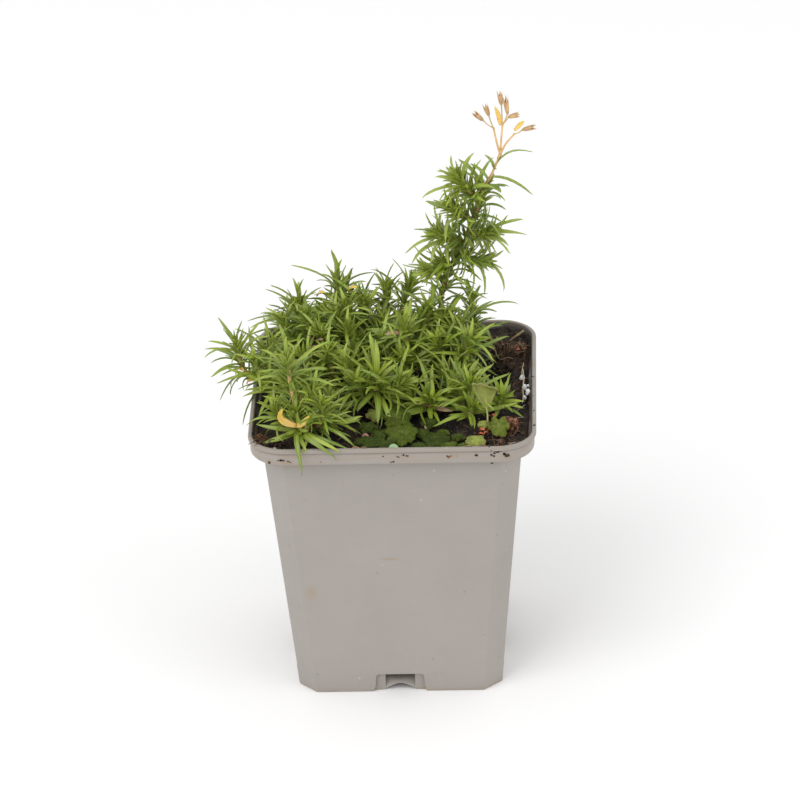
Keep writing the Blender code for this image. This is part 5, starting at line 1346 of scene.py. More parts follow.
HEAD_FOOT = Vector((34.2, 15.0, 164.3))
HEAD_FORK = Vector((34.9, 15.0, 166.0))
HEAD_BRANCHES = [
    # the branch's route above the fork, then each dried flower's foot and end
    ([(34.0, 14.7, 169.6), (33.0, 14.5, 175.2)],
     [((29.8, 13.5, 178.3), (26.9, 12.0, 181.7)), ((31.6, 15.5, 179.0), (30.3, 16.5, 182.6))]),
    ([(35.2, 15.1, 169.6), (35.8, 15.2, 176.0)],
     [((35.6, 16.5, 182.1), (35.0, 17.5, 186.4)), ((37.5, 14.0, 180.1), (36.8, 13.0, 186.7)),
      ((37.6, 15.9, 178.2), (41.2, 17.4, 178.4))]),
    ([(36.6, 14.8, 169.4), (39.5, 14.5, 173.1)],
     [((41.9, 14.0, 174.6), (46.2, 13.0, 176.1))]),
]
CALYX_RADIUS = 0.78
CALYX_TEETH = 5
CALYX_PROFILE = ((0.0, 0.40), (0.07, 0.60), (0.18, 0.76), (0.34, 0.88), (0.5, 0.97), (0.64, 1.0))
TOOTH_ROWS = ((0.76, 0.56, 1.08), (0.88, 0.26, 1.18))    # share of the length, width, radius
STRAW = (0.700, 0.430, 0.170)
STRAW_GREEN = (0.560, 0.480, 0.260)
CALYX_TAN = (0.760, 0.520, 0.270)
CALYX_DARK = (0.430, 0.250, 0.120)


def calyx(points, faces, ribs, base, tip):
    """A dried calyx: a ribbed tube, open above, whose wall ends in five pointed teeth."""
    along = (tip - base).normalized()
    side = along.orthogonal().normalized()
    other = along.cross(side)
    length = (tip - base).length
    count = CALYX_TEETH * 4

    def spot(share, wide, angle):
        points.append(base + along * length * share
                      + (side * math.cos(angle) + other * math.sin(angle)) * CALYX_RADIUS * wide)
        ribs.append(0.5 + 0.5 * math.cos(10 * angle))
        return len(points) - 1

    rows = []
    for share, wide in CALYX_PROFILE:
        row = []
        for step in range(count):
            angle = math.tau * step / count
            row.append(spot(share, wide * (1.0 + 0.09 * math.cos(10 * angle)), angle))
        rows.append(row)
    for lower, upper in zip(rows, rows[1:]):
        for i in range(count):
            j = (i + 1) % count
            faces.append([lower[i], lower[j], upper[j], upper[i]])
    faces.append(rows[0][::-1])
    for tooth in range(CALYX_TEETH):
        middle = math.tau * (tooth * 4 + 2) / count
        lower = [rows[-1][(tooth * 4 + step) % count] for step in range(5)]
        for share, narrow, wide in TOOTH_ROWS:
            upper = [spot(share, wide * 0.94, middle + math.tau * (step - 2) / count * narrow) for step in range(5)]
            for i in range(4):
                faces.append([lower[i], lower[i + 1], upper[i + 1], upper[i]])
            lower = upper
        end = spot(1.0, 1.22, middle)
        for i in range(4):
            faces.append([lower[i], lower[i + 1], end])


def attribute_colour_material(name, label, low_colour, high_colour, patch, spread, roughness, grain=2200.0,
                              low=0.0, high=1.0, relief=0.4):
    """A dull plant surface whose colour runs from one to another by a value kept on its points."""
    made, tree, shader = material(name)
    value = add(tree, "ShaderNodeAttribute", attribute_name=label).outputs["Fac"]
    colour = mixed(tree, ranged(tree, value, low, high), low_colour, high_colour)
    patchy = grouped(tree, UNEVEN, {"Color": colour, "Patch": patch, "Spread": spread, "Grain": grain})
    tree.links.new(patchy["Color"], shader.inputs["Base Color"])
    tree.links.new(ranged(tree, patchy["Patches"], 0.3, 0.7, roughness - 0.1, roughness + 0.1),
                   shader.inputs["Roughness"])
    bumped(tree, shader, patchy["Height"], relief, 0.0001)
    return made


straw_points, straw_faces, straw_values = [], [], []


def straw_rod(path, radii, first, last):
    """One branch of the seed head, its colour running along it."""
    before = len(straw_points)
    sweep(straw_points, straw_faces, path, radii, 8)
    count = (len(straw_points) - before) // 8
    for level in range(count):
        straw_values.extend([first + (last - first) * level / (count - 1)] * 8)


calyx_points, calyx_faces, calyx_ribs = [], [], []
straw_rod([HEAD_FOOT, HEAD_FOOT.lerp(HEAD_FORK, 0.6), HEAD_FORK], [0.5, 0.52, 0.56], 0.6, 0.9)
for route, ends in HEAD_BRANCHES:
    route = [Vector(p) for p in route]
    branch = smooth_path([HEAD_FORK - (route[0] - HEAD_FORK) * 0.05] + route, 5)
    branch_radii = [0.36 - 0.08 * number / (len(branch) - 1) for number in range(len(branch))]
    branch_radii[0] = 0.44
    branch_radii[-1] = 0.38
    straw_rod(branch, branch_radii, 1.0, 0.8)
    for base, tip in ends:
        base, tip = Vector(base), Vector(tip)
        bow = route[-1].lerp(base, 0.5) + Vector((0, 0, -0.35))
        stalk = smooth_path([route[-1] - (base - route[-1]) * 0.06, bow, base.lerp(tip, 0.03)], 4)
        straw_rod(stalk, [0.30] + [0.20] * (len(stalk) - 3) + [0.23, 0.28], 0.7, 0.2)
        calyx(calyx_points, calyx_faces, calyx_ribs, base, tip)
straw_finish = attribute_colour_material("dry_straw", "age", STRAW_GREEN, STRAW, 350.0, 0.22, 0.55)
piece("seed_head_straw", straw_points, straw_faces, straw_finish, "straw", ("seed_head",),
      values={"age": straw_values})
calyx_finish = attribute_colour_material("dry_calyx", "rib", CALYX_DARK, CALYX_TAN, 500.0, 0.3, 0.7, relief=0.6)
calyces = piece("seed_head_calyces", calyx_points, calyx_faces, calyx_finish, "straw", values={"rib": calyx_ribs})
calyx_wall = calyces.modifiers.new("wall", "SOLIDIFY")
calyx_wall.thickness = 0.08 * MM
calyx_wall.offset = -1.0


# Single coloured leaves: two yellow bracts on the seed head, two dying leaves on the front left shoot,
# and three dry brown ones caught in the mound. Each is a leaf of the plant that has lost its green.

SINGLE_LEAVES = {
    # name: width, then the leaf's foot, bend and tip, and whether it is dry
    "bract_middle": (1.7, [(35.2, 13.9, 176.4), (34.4, 13.0, 180), (33.6, 12.5, 183.6)], False),
    "bract_right": (1.6, [(39.4, 15.7, 173.6), (41.0, 15.8, 175.2), (42.7, 15.7, 176.8)], False),
    "yellow_leaf_left": (2.7, [(-29.2, -36.2, 97.9), (-37.4, -37.6, 100.4), (-33.0, -38.0, 105.0)], False),
    "yellow_leaf_right": (2.3, [(-29.3, -36.2, 97.9), (-27.0, -37.6, 98.9), (-25.4, -37.0, 102.0)], False),
    "dry_leaf_centre": (1.8, [(2.3, -0.8, 111.8), (0.3, -1.4, 112.6), (-2.4, -1.6, 112)], True),
    "dry_leaf_front": (1.9, [(13, -18, 94.3), (15.5, -18.9, 94), (19, -19.2, 93.4)], True),
    "dry_leaf_back": (1.7, [(11.6, 8.3, 110.4), (11.3, 6, 111.4), (9.6, 4.4, 111)], True),
}
DYING_YELLOW = (0.950, 0.680, 0.120)
DYING_ORANGE = (0.880, 0.560, 0.190)
DRY_BROWN = (0.330, 0.190, 0.095)
DRY_PALE = (0.560, 0.400, 0.230)


def spent_leaf_material(name, foot_colour, tip_colour, spread, roughness):
    """A leaf without green: its colour runs from foot to tip, with darker veins and blotches."""
    made, tree, shader = material(name)
    flat = add(tree, "ShaderNodeUVMap", uv_map="along_leaf").outputs[0]
    parts = add(tree, "ShaderNodeSeparateXYZ", {0: flat})
    colour = mixed(tree, parts.outputs[1], foot_colour, tip_colour)
    patchy = grouped(tree, UNEVEN, {"Color": colour, "Patch": 330.0, "Spread": spread, "Grain": 1600.0})
    veins = maths(tree, "SINE", maths(tree, "MULTIPLY", parts.outputs[0], 38.0))
    colour = mixed(tree, ranged(tree, veins, 0.4, 1.0, 0.0, 0.22), patchy["Color"], foot_colour)
    tree.links.new(colour, shader.inputs["Base Color"])
    tree.links.new(ranged(tree, patchy["Patches"], 0.3, 0.7, roughness - 0.08, roughness + 0.08),
                   shader.inputs["Roughness"])
    shader.inputs["Subsurface Weight"].default_value = 0.2
    shader.inputs["Subsurface Scale"].default_value = 0.0006
    bumped(tree, shader, maths(tree, "ADD", maths(tree, "MULTIPLY", veins, 0.4), patchy["Height"]), 0.5, 0.0001)
    return made


dying_finish = spent_leaf_material("dying_leaf", DYING_ORANGE, DYING_YELLOW, 0.14, 0.42)
dry_finish = spent_leaf_material("dry_leaf", DRY_BROWN, DRY_PALE, 0.35, 0.75)
single_rng = random.Random(71)
for name, (width, points, dry) in SINGLE_LEAVES.items():
    foot, bend, tip = [Vector(p) for p in points]
    upward = Vector((0, -0.5, 0.86))
    run = (tip - foot).normalized()
    single = Foliage()
    single.add_leaf((foot, (foot + bend * 2 + tip) / 4, tip, (upward - run * run.dot(upward)).normalized(),
                     width, 0.5), single_rng)
    piece(name + "_fine", single.points, single.faces, dry_finish if dry else dying_finish,
          "dry_leaf" if dry else "yellow_leaf", (name,), uvs=single.uvs)


# Seedling weeds along the front edge: soft round leaves with blunt lobes, puckered between veins that
# fan out from the stalk, each on a thin stalk that stands in the peat. Smaller ones fill in between.

SEEDLINGS = {
    # name: centre of the leaf, its half width and half depth, lobes, tilt to the front in degrees, finish
    "seedling_big": ((3.1, -32.2, 92.8), 5.1, 5.2, 7, 22, "fresh"),
    "seedling_left": ((-6.2, -36.0, 92.0), 4.2, 3.2, 6, 10, "dark"),
    "seedling_dark": ((13.7, -35.2, 92.2), 4.5, 4.2, 6, 14, "dark"),
    "seedling_small": ((20.7, -33.6, 91.8), 2.3, 2.4, 5, 8, "dark"),
    "seedling_light": ((26.0, -37.6, 92.6), 3.4, 2.9, 5, 20, "scorched"),
    "seedling_right": ((33.3, -30.8, 94.0), 3.3, 4.0, 6, 40, "pale"),
    "seedling_grey": ((1.4, -16.2, 94.4), 3.4, 3.6, 6, 30, "fresh"),
}
LESSER_SEEDLINGS = [
    ((-1.8, -37.6, 91.7), 2.9, 2.6, 6, 6, "dark"),
    ((8.4, -38.3, 91.5), 2.7, 2.2, 5, 10, "dark"),
    ((-9.8, -35.0, 91.4), 2.2, 2.2, 5, 16, "dark"),
    ((18.0, -38.6, 91.5), 2.9, 1.9, 5, 12, "fresh"),
    ((22.2, -39.3, 91.7), 2.0, 1.6, 5, 6, "fresh"),
    ((-3.8, -31.4, 91.9), 2.8, 2.6, 6, 24, "dark"),
    ((9.6, -30.4, 91.8), 2.4, 2.6, 5, 20, "dark"),
    ((28.4, -26.8, 92.6), 2.0, 2.0, 5, 34, "scorched"),
    ((3.6, -14.6, 93.8), 2.6, 2.4, 5, 30, "dark"),
    ((15.8, -31.0, 92.0), 2.2, 2.0, 5, 24, "fresh"), ((1.4, -22.8, 93.2), 4.6, 4.2, 7, 34, "fresh"),
    ((-5.6, -19.4, 93.0), 3.0, 2.6, 5, 38, "scorched"), ((11.4, -25.4, 92.8), 2.8, 2.4, 5, 34, "dark"),
    ((-7.6, -27.2, 92.4), 3.0, 2.6, 6, 24, "dark"),
    ((5.0, -27.6, 92.0), 2.2, 2.0, 5, 26, "dark"),
]
SEEDLING_FINISHES = {
    # leaf, vein and edge colours, and how far in the edge colour reaches
    "fresh": ((0.068, 0.098, 0.008), (0.150, 0.190, 0.036), (0.090, 0.118, 0.012), 0.05),
    # dark: the fresh green darkened, partly painted shade on seedlings that lie low and under other leaves
    "dark": ((0.037, 0.058, 0.005), (0.085, 0.110, 0.016), (0.050, 0.070, 0.008), 0.05),
    "scorched": ((0.240, 0.285, 0.060), (0.330, 0.350, 0.120), (0.360, 0.190, 0.065), 0.17),
    "pale": ((0.115, 0.150, 0.018), (0.235, 0.275, 0.066), (0.260, 0.185, 0.050), 0.09),
}
STALK_BEHIND = 2.2          # a stalk comes out of the peat this far behind its leaf's middle
STALK_RADIUS = 0.42
BLADE_THICK = 0.28
BLADE_ROWS = 14
LOBE_POINTS = 12


def seedling_blade(half_width, half_depth, lobes, rng):
    """A blunt-lobed leaf round its stalk's joint, puckered between its veins, flat on the XY plane."""
    count = lobes * LOBE_POINTS
    built = bmesh.new()
    veins = built.verts.layers.float.new("vein")
    rims = built.verts.layers.float.new("rim")
    shift = Vector((rng.uniform(0, 90), rng.uniform(0, 90), 0))
    lobe_sizes = [rng.uniform(0.90, 1.04) for _ in range(lobes)]
    lobe_tilts = [rng.uniform(-0.35, 0.35) for _ in range(lobes)]
    rows = []
    for level in range(1, BLADE_ROWS + 1):
        share = level / BLADE_ROWS
        row = []
        for step in range(count):
            angle = math.tau * step / count + math.pi / 2
            wave = lobes * (angle - math.pi / 2)
            number = int(step / LOBE_POINTS) % lobes
            sinus = abs(math.cos(wave / 2)) ** 8
            lobe = lobe_sizes[number] * (1 - sinus) + 0.97 * sinus
            lobe *= 1.0 + (0.03 - 0.17 * sinus) * share ** 3
            lobe += 0.022 * math.sin(2.5 * wave + number) * share ** 5
            nearest = min(step, count - step) / LOBE_POINTS
            notch = 1.0 - 0.45 * math.exp(-(nearest / 0.42) ** 2) * share
            x = half_width * lobe * notch * math.cos(angle) * share
            y = half_depth * lobe * notch * math.sin(angle) * share
            to_vein = abs((wave / math.tau) % 1.0 - 0.5) * math.tau / lobes * share * half_width
            vein = math.exp(-(to_vein / 0.17) ** 2) * (1.0 - 0.55 * share)
            puff = 0.42 * math.sin(math.pi * share) * (1.0 - math.exp(-(to_vein / 0.5) ** 2))
            spot = Vector((x, y, 0))
            pucker = 0.65 * noise.noise(spot * 0.75 + shift) + 0.34 * noise.noise(spot * 1.9 + shift)
            droop = -0.8 * share ** 2.2 + lobe_tilts[number] * (1 - sinus) * share ** 2 - 0.22 * sinus * share
            vertex = built.verts.new((x, y, 0.75 + droop + puff + pucker * share - 0.10 * vein))
            vertex[veins] = vein
            vertex[rims] = share
            row.append(vertex)
        rows.append(row)
    middle = built.verts.new((0, 0, 0.62))
    middle[veins] = 1.0
    for i in range(count):
        built.faces.new((rows[0][i], rows[0][(i + 1) % count], middle))
    for inner, outer in zip(rows, rows[1:]):
        for i in range(count):
            j = (i + 1) % count
            built.faces.new((inner[i], outer[i], outer[j], inner[j]))
    return built


def soft_leaf_material(name, leaf_colour, vein_colour, edge_colour, edge_reach):
    """A soft thin leaf: paler veins, an edge of its own colour, mottling and short down."""
    made, tree, shader = material(name)
    vein = add(tree, "ShaderNodeAttribute", attribute_name="vein").outputs["Fac"]
    rim = add(tree, "ShaderNodeAttribute", attribute_name="rim").outputs["Fac"]
    base = grouped(tree, UNEVEN, {"Color": leaf_colour, "Patch": 480.0, "Spread": 0.42, "Grain": 1500.0})
    net = grouped(tree, SPECKS, {"Scale": 900.0, "Size": 0.5, "Kept": 0.35})["Mask"]
    colour = mixed(tree, maths(tree, "MULTIPLY", net, 0.30), base["Color"], vein_colour)
    colour = mixed(tree, ranged(tree, vein, 0.25, 0.9, 0.0, 0.60), colour, vein_colour)
    ragged = maths(tree, "ADD", rim, ranged(tree, base["Patches"], 0.3, 0.7, -0.08, 0.08))
    colour = mixed(tree, ranged(tree, ragged, 1.0 - edge_reach, 1.0, 0.0, 0.9), colour, edge_colour)
    tree.links.new(colour, shader.inputs["Base Color"])
    tree.links.new(ranged(tree, base["Patches"], 0.3, 0.7, 0.46, 0.66), shader.inputs["Roughness"])
    shader.inputs["Specular IOR Level"].default_value = 0.16
    shader.inputs["Subsurface Weight"].default_value = 0.12
    shader.inputs["Subsurface Radius"].default_value = (0.8, 1.0, 0.2)
    shader.inputs["Subsurface Scale"].default_value = 0.0005
    bumped(tree, shader, maths(tree, "ADD", base["Height"], net), 0.7, 0.0002)
    return made


def set_blade(name, centre, half_width, half_depth, lobes, tilt, finish, rng):
    """One seedling's leaf in its place, thickened."""
    blade = seedling_blade(half_width, half_depth, lobes, rng)
    place = Matrix.Translation(centre) @ Matrix.Rotation(math.radians(tilt), 4, "X")
    bmesh.ops.transform(blade, matrix=place, verts=blade.verts)
    made = solid(name, blade)
    made.data.shade_smooth()
    thick = made.modifiers.new("thickness", "SOLIDIFY")
    thick.thickness = BLADE_THICK * MM
    thick.offset = -1.0
    made.data.materials.append(seedling_finishes[finish])
    return made


def seedling_stalk(name, centre, finish):
    """The thin stalk that carries a seedling's leaf, reddened on the paler ones."""
    x, y, z = centre
    behind = y + STALK_BEHIND
    level = ground(x, behind)
    path = smooth_path([Vector((x, behind, level - 3)), Vector((x, behind, level + 0.2)),
                        Vector((x, y, z + 0.35))], 5)
    points, faces = [], []
    sweep(points, faces, path, [STALK_RADIUS] * (len(path) - 1) + [STALK_RADIUS * 0.7], 8)
    reddened = [min(1.0, 1.3 * (1 - (number // 8) / (len(path) - 1))) * (finish in ("pale", "scorched"))
                for number in range(len(points))]
    piece(name, points, faces, stalk_finish, "seedling_green", values={"age": reddened})


seedling_finishes = {name: soft_leaf_material("seedling_" + name + "_leaf", *colours)
                     for name, colours in SEEDLING_FINISHES.items()}
stalk_finish = attribute_colour_material("seedling_stalk", "age", (0.20, 0.25, 0.07), (0.42, 0.10, 0.07), 400.0,
                                         0.2, 0.5)
seedling_rng = random.Random(900)
for name, (centre, half_width, half_depth, lobes, tilt, finish) in SEEDLINGS.items():
    made = set_blade(name + "_leaf", centre, half_width, half_depth, lobes, tilt, finish, seedling_rng)
    put(made, "seedling_green", name)
    seedling_stalk(name + "_stalk", centre, finish)
for number, (centre, half_width, half_depth, lobes, tilt, finish) in enumerate(LESSER_SEEDLINGS):
    name = f"lesser_seedling_{number + 1}"
    put(set_blade(name + "_leaf", centre, half_width, half_depth, lobes, tilt, finish, seedling_rng),
        "seedling_green")
    seedling_stalk(name + "_stalk", centre, finish)


# Wilted leaf: a limp olive fan with a thin pale stalk, reddened at its foot, whose upper edge has
# fallen forward. It grew from one of the seedlings and has dried out.

WILTED_STALK = [(29.5, -26.4), (29.6, -26.2, 91.5), (29.7, -25, 94.4), (29.4, -23.7, 97)]
WILTED_EDGES = [
    # left edge's x and height, right edge's x and height, and how far back both are
    (28.9, 96.3, 29.7, 96.4, -23.8),
    (27.5, 98.8, 31.0, 98.6, -23.3),
    (26.1, 101.4, 32.0, 100.7, -22.9),
    (25.2, 103.6, 32.7, 102.3, -23.0),
    (25.0, 105.2, 32.6, 103.4, -23.9),
]
WILTED_STEPS = 30
WILTED_OLIVE = (0.235, 0.262, 0.050)
WILTED_VEIN = (0.400, 0.390, 0.130)
WILTED_EDGE = (0.330, 0.270, 0.150)


def wilted_material():
    """Limp leaf: dull olive with pale pleats that fan out, browner at its edge."""
    made, tree, shader = material("wilted_olive")
    vein = add(tree, "ShaderNodeAttribute", attribute_name="vein").outputs["Fac"]
    rim = add(tree, "ShaderNodeAttribute", attribute_name="rim").outputs["Fac"]
    base = grouped(tree, UNEVEN, {"Color": WILTED_OLIVE, "Patch": 300.0, "Spread": 0.30, "Grain": 1800.0})
    colour = mixed(tree, ranged(tree, vein, 0.3, 1.0, 0.0, 0.7), base["Color"], WILTED_VEIN)
    ragged = maths(tree, "ADD", rim, ranged(tree, base["Patches"], 0.3, 0.7, -0.07, 0.07))
    colour = mixed(tree, ranged(tree, ragged, 0.90, 1.02, 0.0, 0.55), colour, WILTED_EDGE)
    tree.links.new(colour, shader.inputs["Base Color"])
    tree.links.new(ranged(tree, base["Patches"], 0.3, 0.7, 0.50, 0.7), shader.inputs["Roughness"])
    shader.inputs["Specular IOR Level"].default_value = 0.35
    shader.inputs["Subsurface Weight"].default_value = 0.15
    shader.inputs["Subsurface Scale"].default_value = 0.0006
    bumped(tree, shader, base["Height"], 0.6, 0.00015)
    return made


left_edge = smooth_path([Vector((x, back, z)) for x, z, _, _, back in WILTED_EDGES], 5)
right_edge = smooth_path([Vector((x, back, z)) for _, _, x, z, back in WILTED_EDGES], 5)
fan = bmesh.new()
fan_veins = fan.verts.layers.float.new("vein")
fan_rims = fan.verts.layers.float.new("rim")
fan_rows = []
for number, (left, right_end) in enumerate(zip(left_edge, right_edge)):
    along = number / (len(left_edge) - 1)
    fan_row = []
    for step in range(WILTED_STEPS + 1):
        share = step / WILTED_STEPS
        across = 2 * share - 1
        spot = left.lerp(right_end, share)
        pleat = math.sin(17 * share + 2.5 * math.sin(5 * share)) * (0.6 + 0.4 * math.cos(9 * share))
        spot.y += 0.75 * (1 - across * across) * along - 0.15 + 0.17 * pleat * along
        spot.y -= 0.5 * max(0.0, across - 0.3) * along
        ragged = noise.noise(Vector((share * 4.5, 5.0, 0.3))) + 0.5 * noise.noise(Vector((share * 13, 2.0, 0.7)))
        spot.z += (0.55 * (1 - across * across) + 0.8 * ragged) * along ** 5
        spot.x += 0.25 * noise.noise(Vector((share * 2, along * 5, 3.1))) * along
        vertex = fan.verts.new(spot)
        stream = math.exp(-((share - 0.52) / 0.10) ** 2) * (1.0 - 0.7 * along)
        vertex[fan_veins] = max(stream, (0.5 + 0.5 * pleat) * 0.8)
        vertex[fan_rims] = max(along, abs(across) * 0.97)
        fan_row.append(vertex)
    fan_rows.append(fan_row)
for lower, upper in zip(fan_rows, fan_rows[1:]):
    for i in range(WILTED_STEPS):
        fan.faces.new((lower[i], lower[i + 1], upper[i + 1], upper[i]))
wilted = solid("wilted_fan", fan)
wilted.data.shade_smooth()
wilted_thick = wilted.modifiers.new("thickness", "SOLIDIFY")
wilted_thick.thickness = 0.3 * MM
wilted_thick.offset = 0.0
wilted.data.materials.append(wilted_material())
put(wilted, "wilted_leaf", "wilted_leaf")

wilted_x, wilted_y = WILTED_STALK[0]
wilted_foot = Vector((wilted_x, wilted_y, ground(wilted_x, wilted_y) - 3))
wilted_path = smooth_path([wilted_foot] + [Vector(p) for p in WILTED_STALK[1:]]
                          + [Vector((29.2, -23.2, 99.5))], 5)
stalk_points, stalk_faces = [], []
wilted_radii = [0.36 - 0.18 * number / (len(wilted_path) - 1) for number in range(len(wilted_path))]
sweep(stalk_points, stalk_faces, wilted_path, wilted_radii, 8)
wilted_red = [max(0.0, 1.0 - 2.2 * (number // 8) / (len(wilted_path) - 1)) for number in range(len(stalk_points))]
piece("wilted_stalk", stalk_points, stalk_faces,
      attribute_colour_material("wilted_stalk_skin", "age", (0.42, 0.40, 0.13), (0.66, 0.12, 0.09), 300.0, 0.2, 0.5),
      "wilted_leaf", values={"age": wilted_red})


# Things that lie on the peat: two clumps of coarse reddish-brown root fibre, a pink grit stone, a pale
# green grain and grains of white perlite, all mixed in with the peat when the pot was filled.

CLUMPS = {
    # name: place, half sizes, flakes, fibres, how much the fibres lie flat, light colour
    "root_clump_back": ((39.4, 26.4), (2.4, 2.9, 1.9), 5, 110, 0.45, (0.250, 0.150, 0.082)),
    "root_clump_front": ((37.4, -26.0), (1.8, 1.9, 1.6), 16, 50, 1.0, (0.430, 0.185, 0.092)),
}
CLUMP_BROWN = (0.060, 0.032, 0.020)
CLUMP_LIGHT = (0.360, 0.190, 0.100)
STONES = {
    # name: place, half sizes, roughness of its form, colours, slot, gloss
    "grit_stone": ((-8.4, -31.4), (1.1, 1.1, 0.9), 0.16, (0.330, 0.170, 0.135), (0.52, 0.33, 0.28), "grit", 0.75),
    "pale_grain": ((0.7, -40.9), (1.6, 1.4, 1.6), 0.05, (0.330, 0.500, 0.260), (0.58, 0.72, 0.46), "pale_grain",
                   0.45),
    "perlite_back": ((40.4, 8.0), (0.9, 0.9, 0.8), 0.42, (0.93, 0.93, 0.91), (0.96, 0.96, 0.95), "perlite", 0.85),
    "perlite_front": ((41.2, 1.0), (0.8, 1.0, 0.9), 0.42, (0.93, 0.93, 0.91), (0.96, 0.96, 0.95), "perlite",
                      0.85),
}
LESSER_STONES = [
    # place, half sizes
    (42.2, -2.6, 0.75, 1.0, 1.0), (41.2, -5.6, 0.55, 0.7, 0.7), (42.3, 2.9, 0.45, 0.45, 0.45),
    (-36.5, -36.8, 0.5, 0.4, 0.4), (-11.0, -41.2, 0.7, 0.35, 0.35), (14.5, 33.0, 0.6, 0.6, 0.5),
    (-30.0, 30.5, 0.7, 0.6, 0.6), (29.0, 38.5, 0.5, 0.6, 0.5),
]


def tangled(rng, middle, half_sizes, level):
    """The path of one fibre of a clump, which wanders round inside it."""
    heading = Vector([rng.gauss(0, 1) for _ in range(3)]).normalized()
    spot = middle + Vector(a * b * 0.8 for a, b in zip(heading, half_sizes))
    along = heading.orthogonal().normalized()
    along = Matrix.Rotation(rng.uniform(0, math.tau), 3, heading) @ along
    path = [spot]
    for _ in range(rng.choice((4, 6, 8))):
        pull = (middle - spot) * rng.uniform(0.10, 0.35) / max(half_sizes)
        along = along + pull + Vector([rng.gauss(0, 0.35) for _ in range(3)])
        along = Vector((along.x, along.y, along.z * level)).normalized()
        spot = spot + along * 0.55
        path.append(spot)
    return path


for order, (name, ((x, y), half_sizes, flakes, fibres, level, light)) in enumerate(CLUMPS.items()):
    clump_finish = attribute_colour_material(name + "_fibre", "age", CLUMP_BROWN, light, 500.0, 0.4, 0.8,
                                             relief=0.7)
    rng = random.Random(40 + order)
    middle = Vector((x, y, ground(x, y) + 0.45 + half_sizes[2] * 0.9))
    points, faces, ages = [], [], []
    crumb(points, faces, middle, min(half_sizes) * 0.8, rng)
    ages.extend([0.05] * len(points))
    for _ in range(fibres):
        path = tangled(rng, middle, half_sizes, level)
        path = [p for p in path if outside_rim(p) < -RIM_WALL - 0.35]
        if len(path) > 2:
            before = len(points)
            radius = rng.uniform(0.08, 0.2)
            sweep(points, faces, path, [radius] * (len(path) - 1) + [radius * 0.4], 5)
            ages.extend([rng.random() ** 1.3] * (len(points) - before))
    for _ in range(flakes):
        out = Vector([rng.gauss(0, 1), rng.gauss(0, 1), rng.uniform(-0.3, 1.2)]).normalized()
        over = out.orthogonal().normalized()
        over = Matrix.Rotation(rng.uniform(0, math.tau), 3, out) @ over
        root = middle + Vector(a * b * 0.5 for a, b in zip(out, half_sizes))
        tip = middle + Vector(a * b for a, b in zip((out + over * 0.9).normalized(), half_sizes)) * 1.2
        if outside_rim(tip) < -RIM_WALL - 0.35:
            flake = Foliage()
            flake.add_leaf((root, root.lerp(tip, 0.5) + out * 0.5, tip, out, 1.5, 0.5), rng)
            base = len(points)
            points.extend(flake.points)
            faces.extend([base + i for i in face] for face in flake.faces)
            ages.extend([rng.uniform(0.45, 1.0)] * len(flake.points))
    piece(name + "_fibres", points, faces, clump_finish, "root_fibre", (name,), values={"age": ages})


# the torn edge between the back clump and the plants: fibres along it, and others that hang down from
# it into the hollow
torn_points, torn_faces, torn_ages = [], [], []
torn_rng = random.Random(57)
TORN_FIBRES = 150
for number in range(TORN_FIBRES):
    place = torn_rng.uniform(0, len(TORN_EDGE) - 1.001)
    start, end = Vector(TORN_EDGE[int(place)]), Vector(TORN_EDGE[int(place) + 1])
    spot = start.lerp(end, place % 1.0) + Vector((torn_rng.gauss(0, 0.5), torn_rng.gauss(0, 0.5)))
    hanging = number % 3 > 0
    towards = -1.9 if hanging else math.atan2(*(end - start).yx)
    path = strand(torn_rng, spot.x, spot.y, torn_rng.uniform(2.5, 6.0), torn_rng.uniform(0.1, 0.9),
                  towards + torn_rng.gauss(0, 0.35))
    path = [p for p in path if outside_rim(p) < -RIM_WALL - 0.35]
    if len(path) > 3:
        before = len(torn_points)
        sweep(torn_points, torn_faces, path, [torn_rng.uniform(0.08, 0.2)] * len(path), 5)
        tone = torn_rng.random() ** (2.2 if hanging else 1.0)
        torn_ages.extend([tone] * (len(torn_points) - before))
piece("torn_edge_fibres", torn_points, torn_faces,
      attribute_colour_material("torn_fibre", "age", CLUMP_BROWN, CLUMPS["root_clump_back"][5], 500.0, 0.4, 0.85),
      "root_fibre", values={"age": torn_ages})


def grain_material(name, colour, pale, roughness):
    """A mineral grain: patches of a second colour, pits and a fine rough surface."""
    made, tree, shader = material(name)
    base = grouped(tree, UNEVEN, {"Color": colour, "Patch": 700.0, "Spread": 0.18, "Grain": 2600.0})
    tone = mixed(tree, ranged(tree, base["Patches"], 0.45, 0.65), base["Color"], pale)
    pits = grouped(tree, SPECKS, {"Scale": 1800.0, "Size": 0.35, "Kept": 0.3})["Mask"]
    tree.links.new(tone, shader.inputs["Base Color"])
    tree.links.new(ranged(tree, base["Height"], 0.3, 0.7, roughness - 0.1, roughness + 0.1),
                   shader.inputs["Roughness"])
    bumped(tree, shader, maths(tree, "SUBTRACT", base["Height"], pits), 0.6, 0.0002)
    return made


def stone_mesh(name, x, y, half_sizes, rough, rng):
    """A worn grain that stands on the peat at a place."""
    shift = Vector((rng.uniform(0, 40), rng.uniform(0, 40), 0))
    stone = bmesh.new()
    bmesh.ops.create_icosphere(stone, subdivisions=4, radius=1.0)
    for vertex in stone.verts:
        facet = noise.voronoi(vertex.co * 1.5 + shift)[0][0] - 0.45
        vertex.co *= 1.0 + rough * (0.9 * noise.noise(vertex.co * 1.3 + shift) - 0.5 * facet
                                    + 0.25 * noise.noise(vertex.co * 5 + shift))
    bmesh.ops.scale(stone, vec=half_sizes, verts=stone.verts)
    low = min(v.co.z for v in stone.verts)
    bmesh.ops.translate(stone, vec=(x, y, ground(x, y) + 0.35 - low), verts=stone.verts)
    made = solid(name, stone)
    made.data.shade_smooth()
    return made


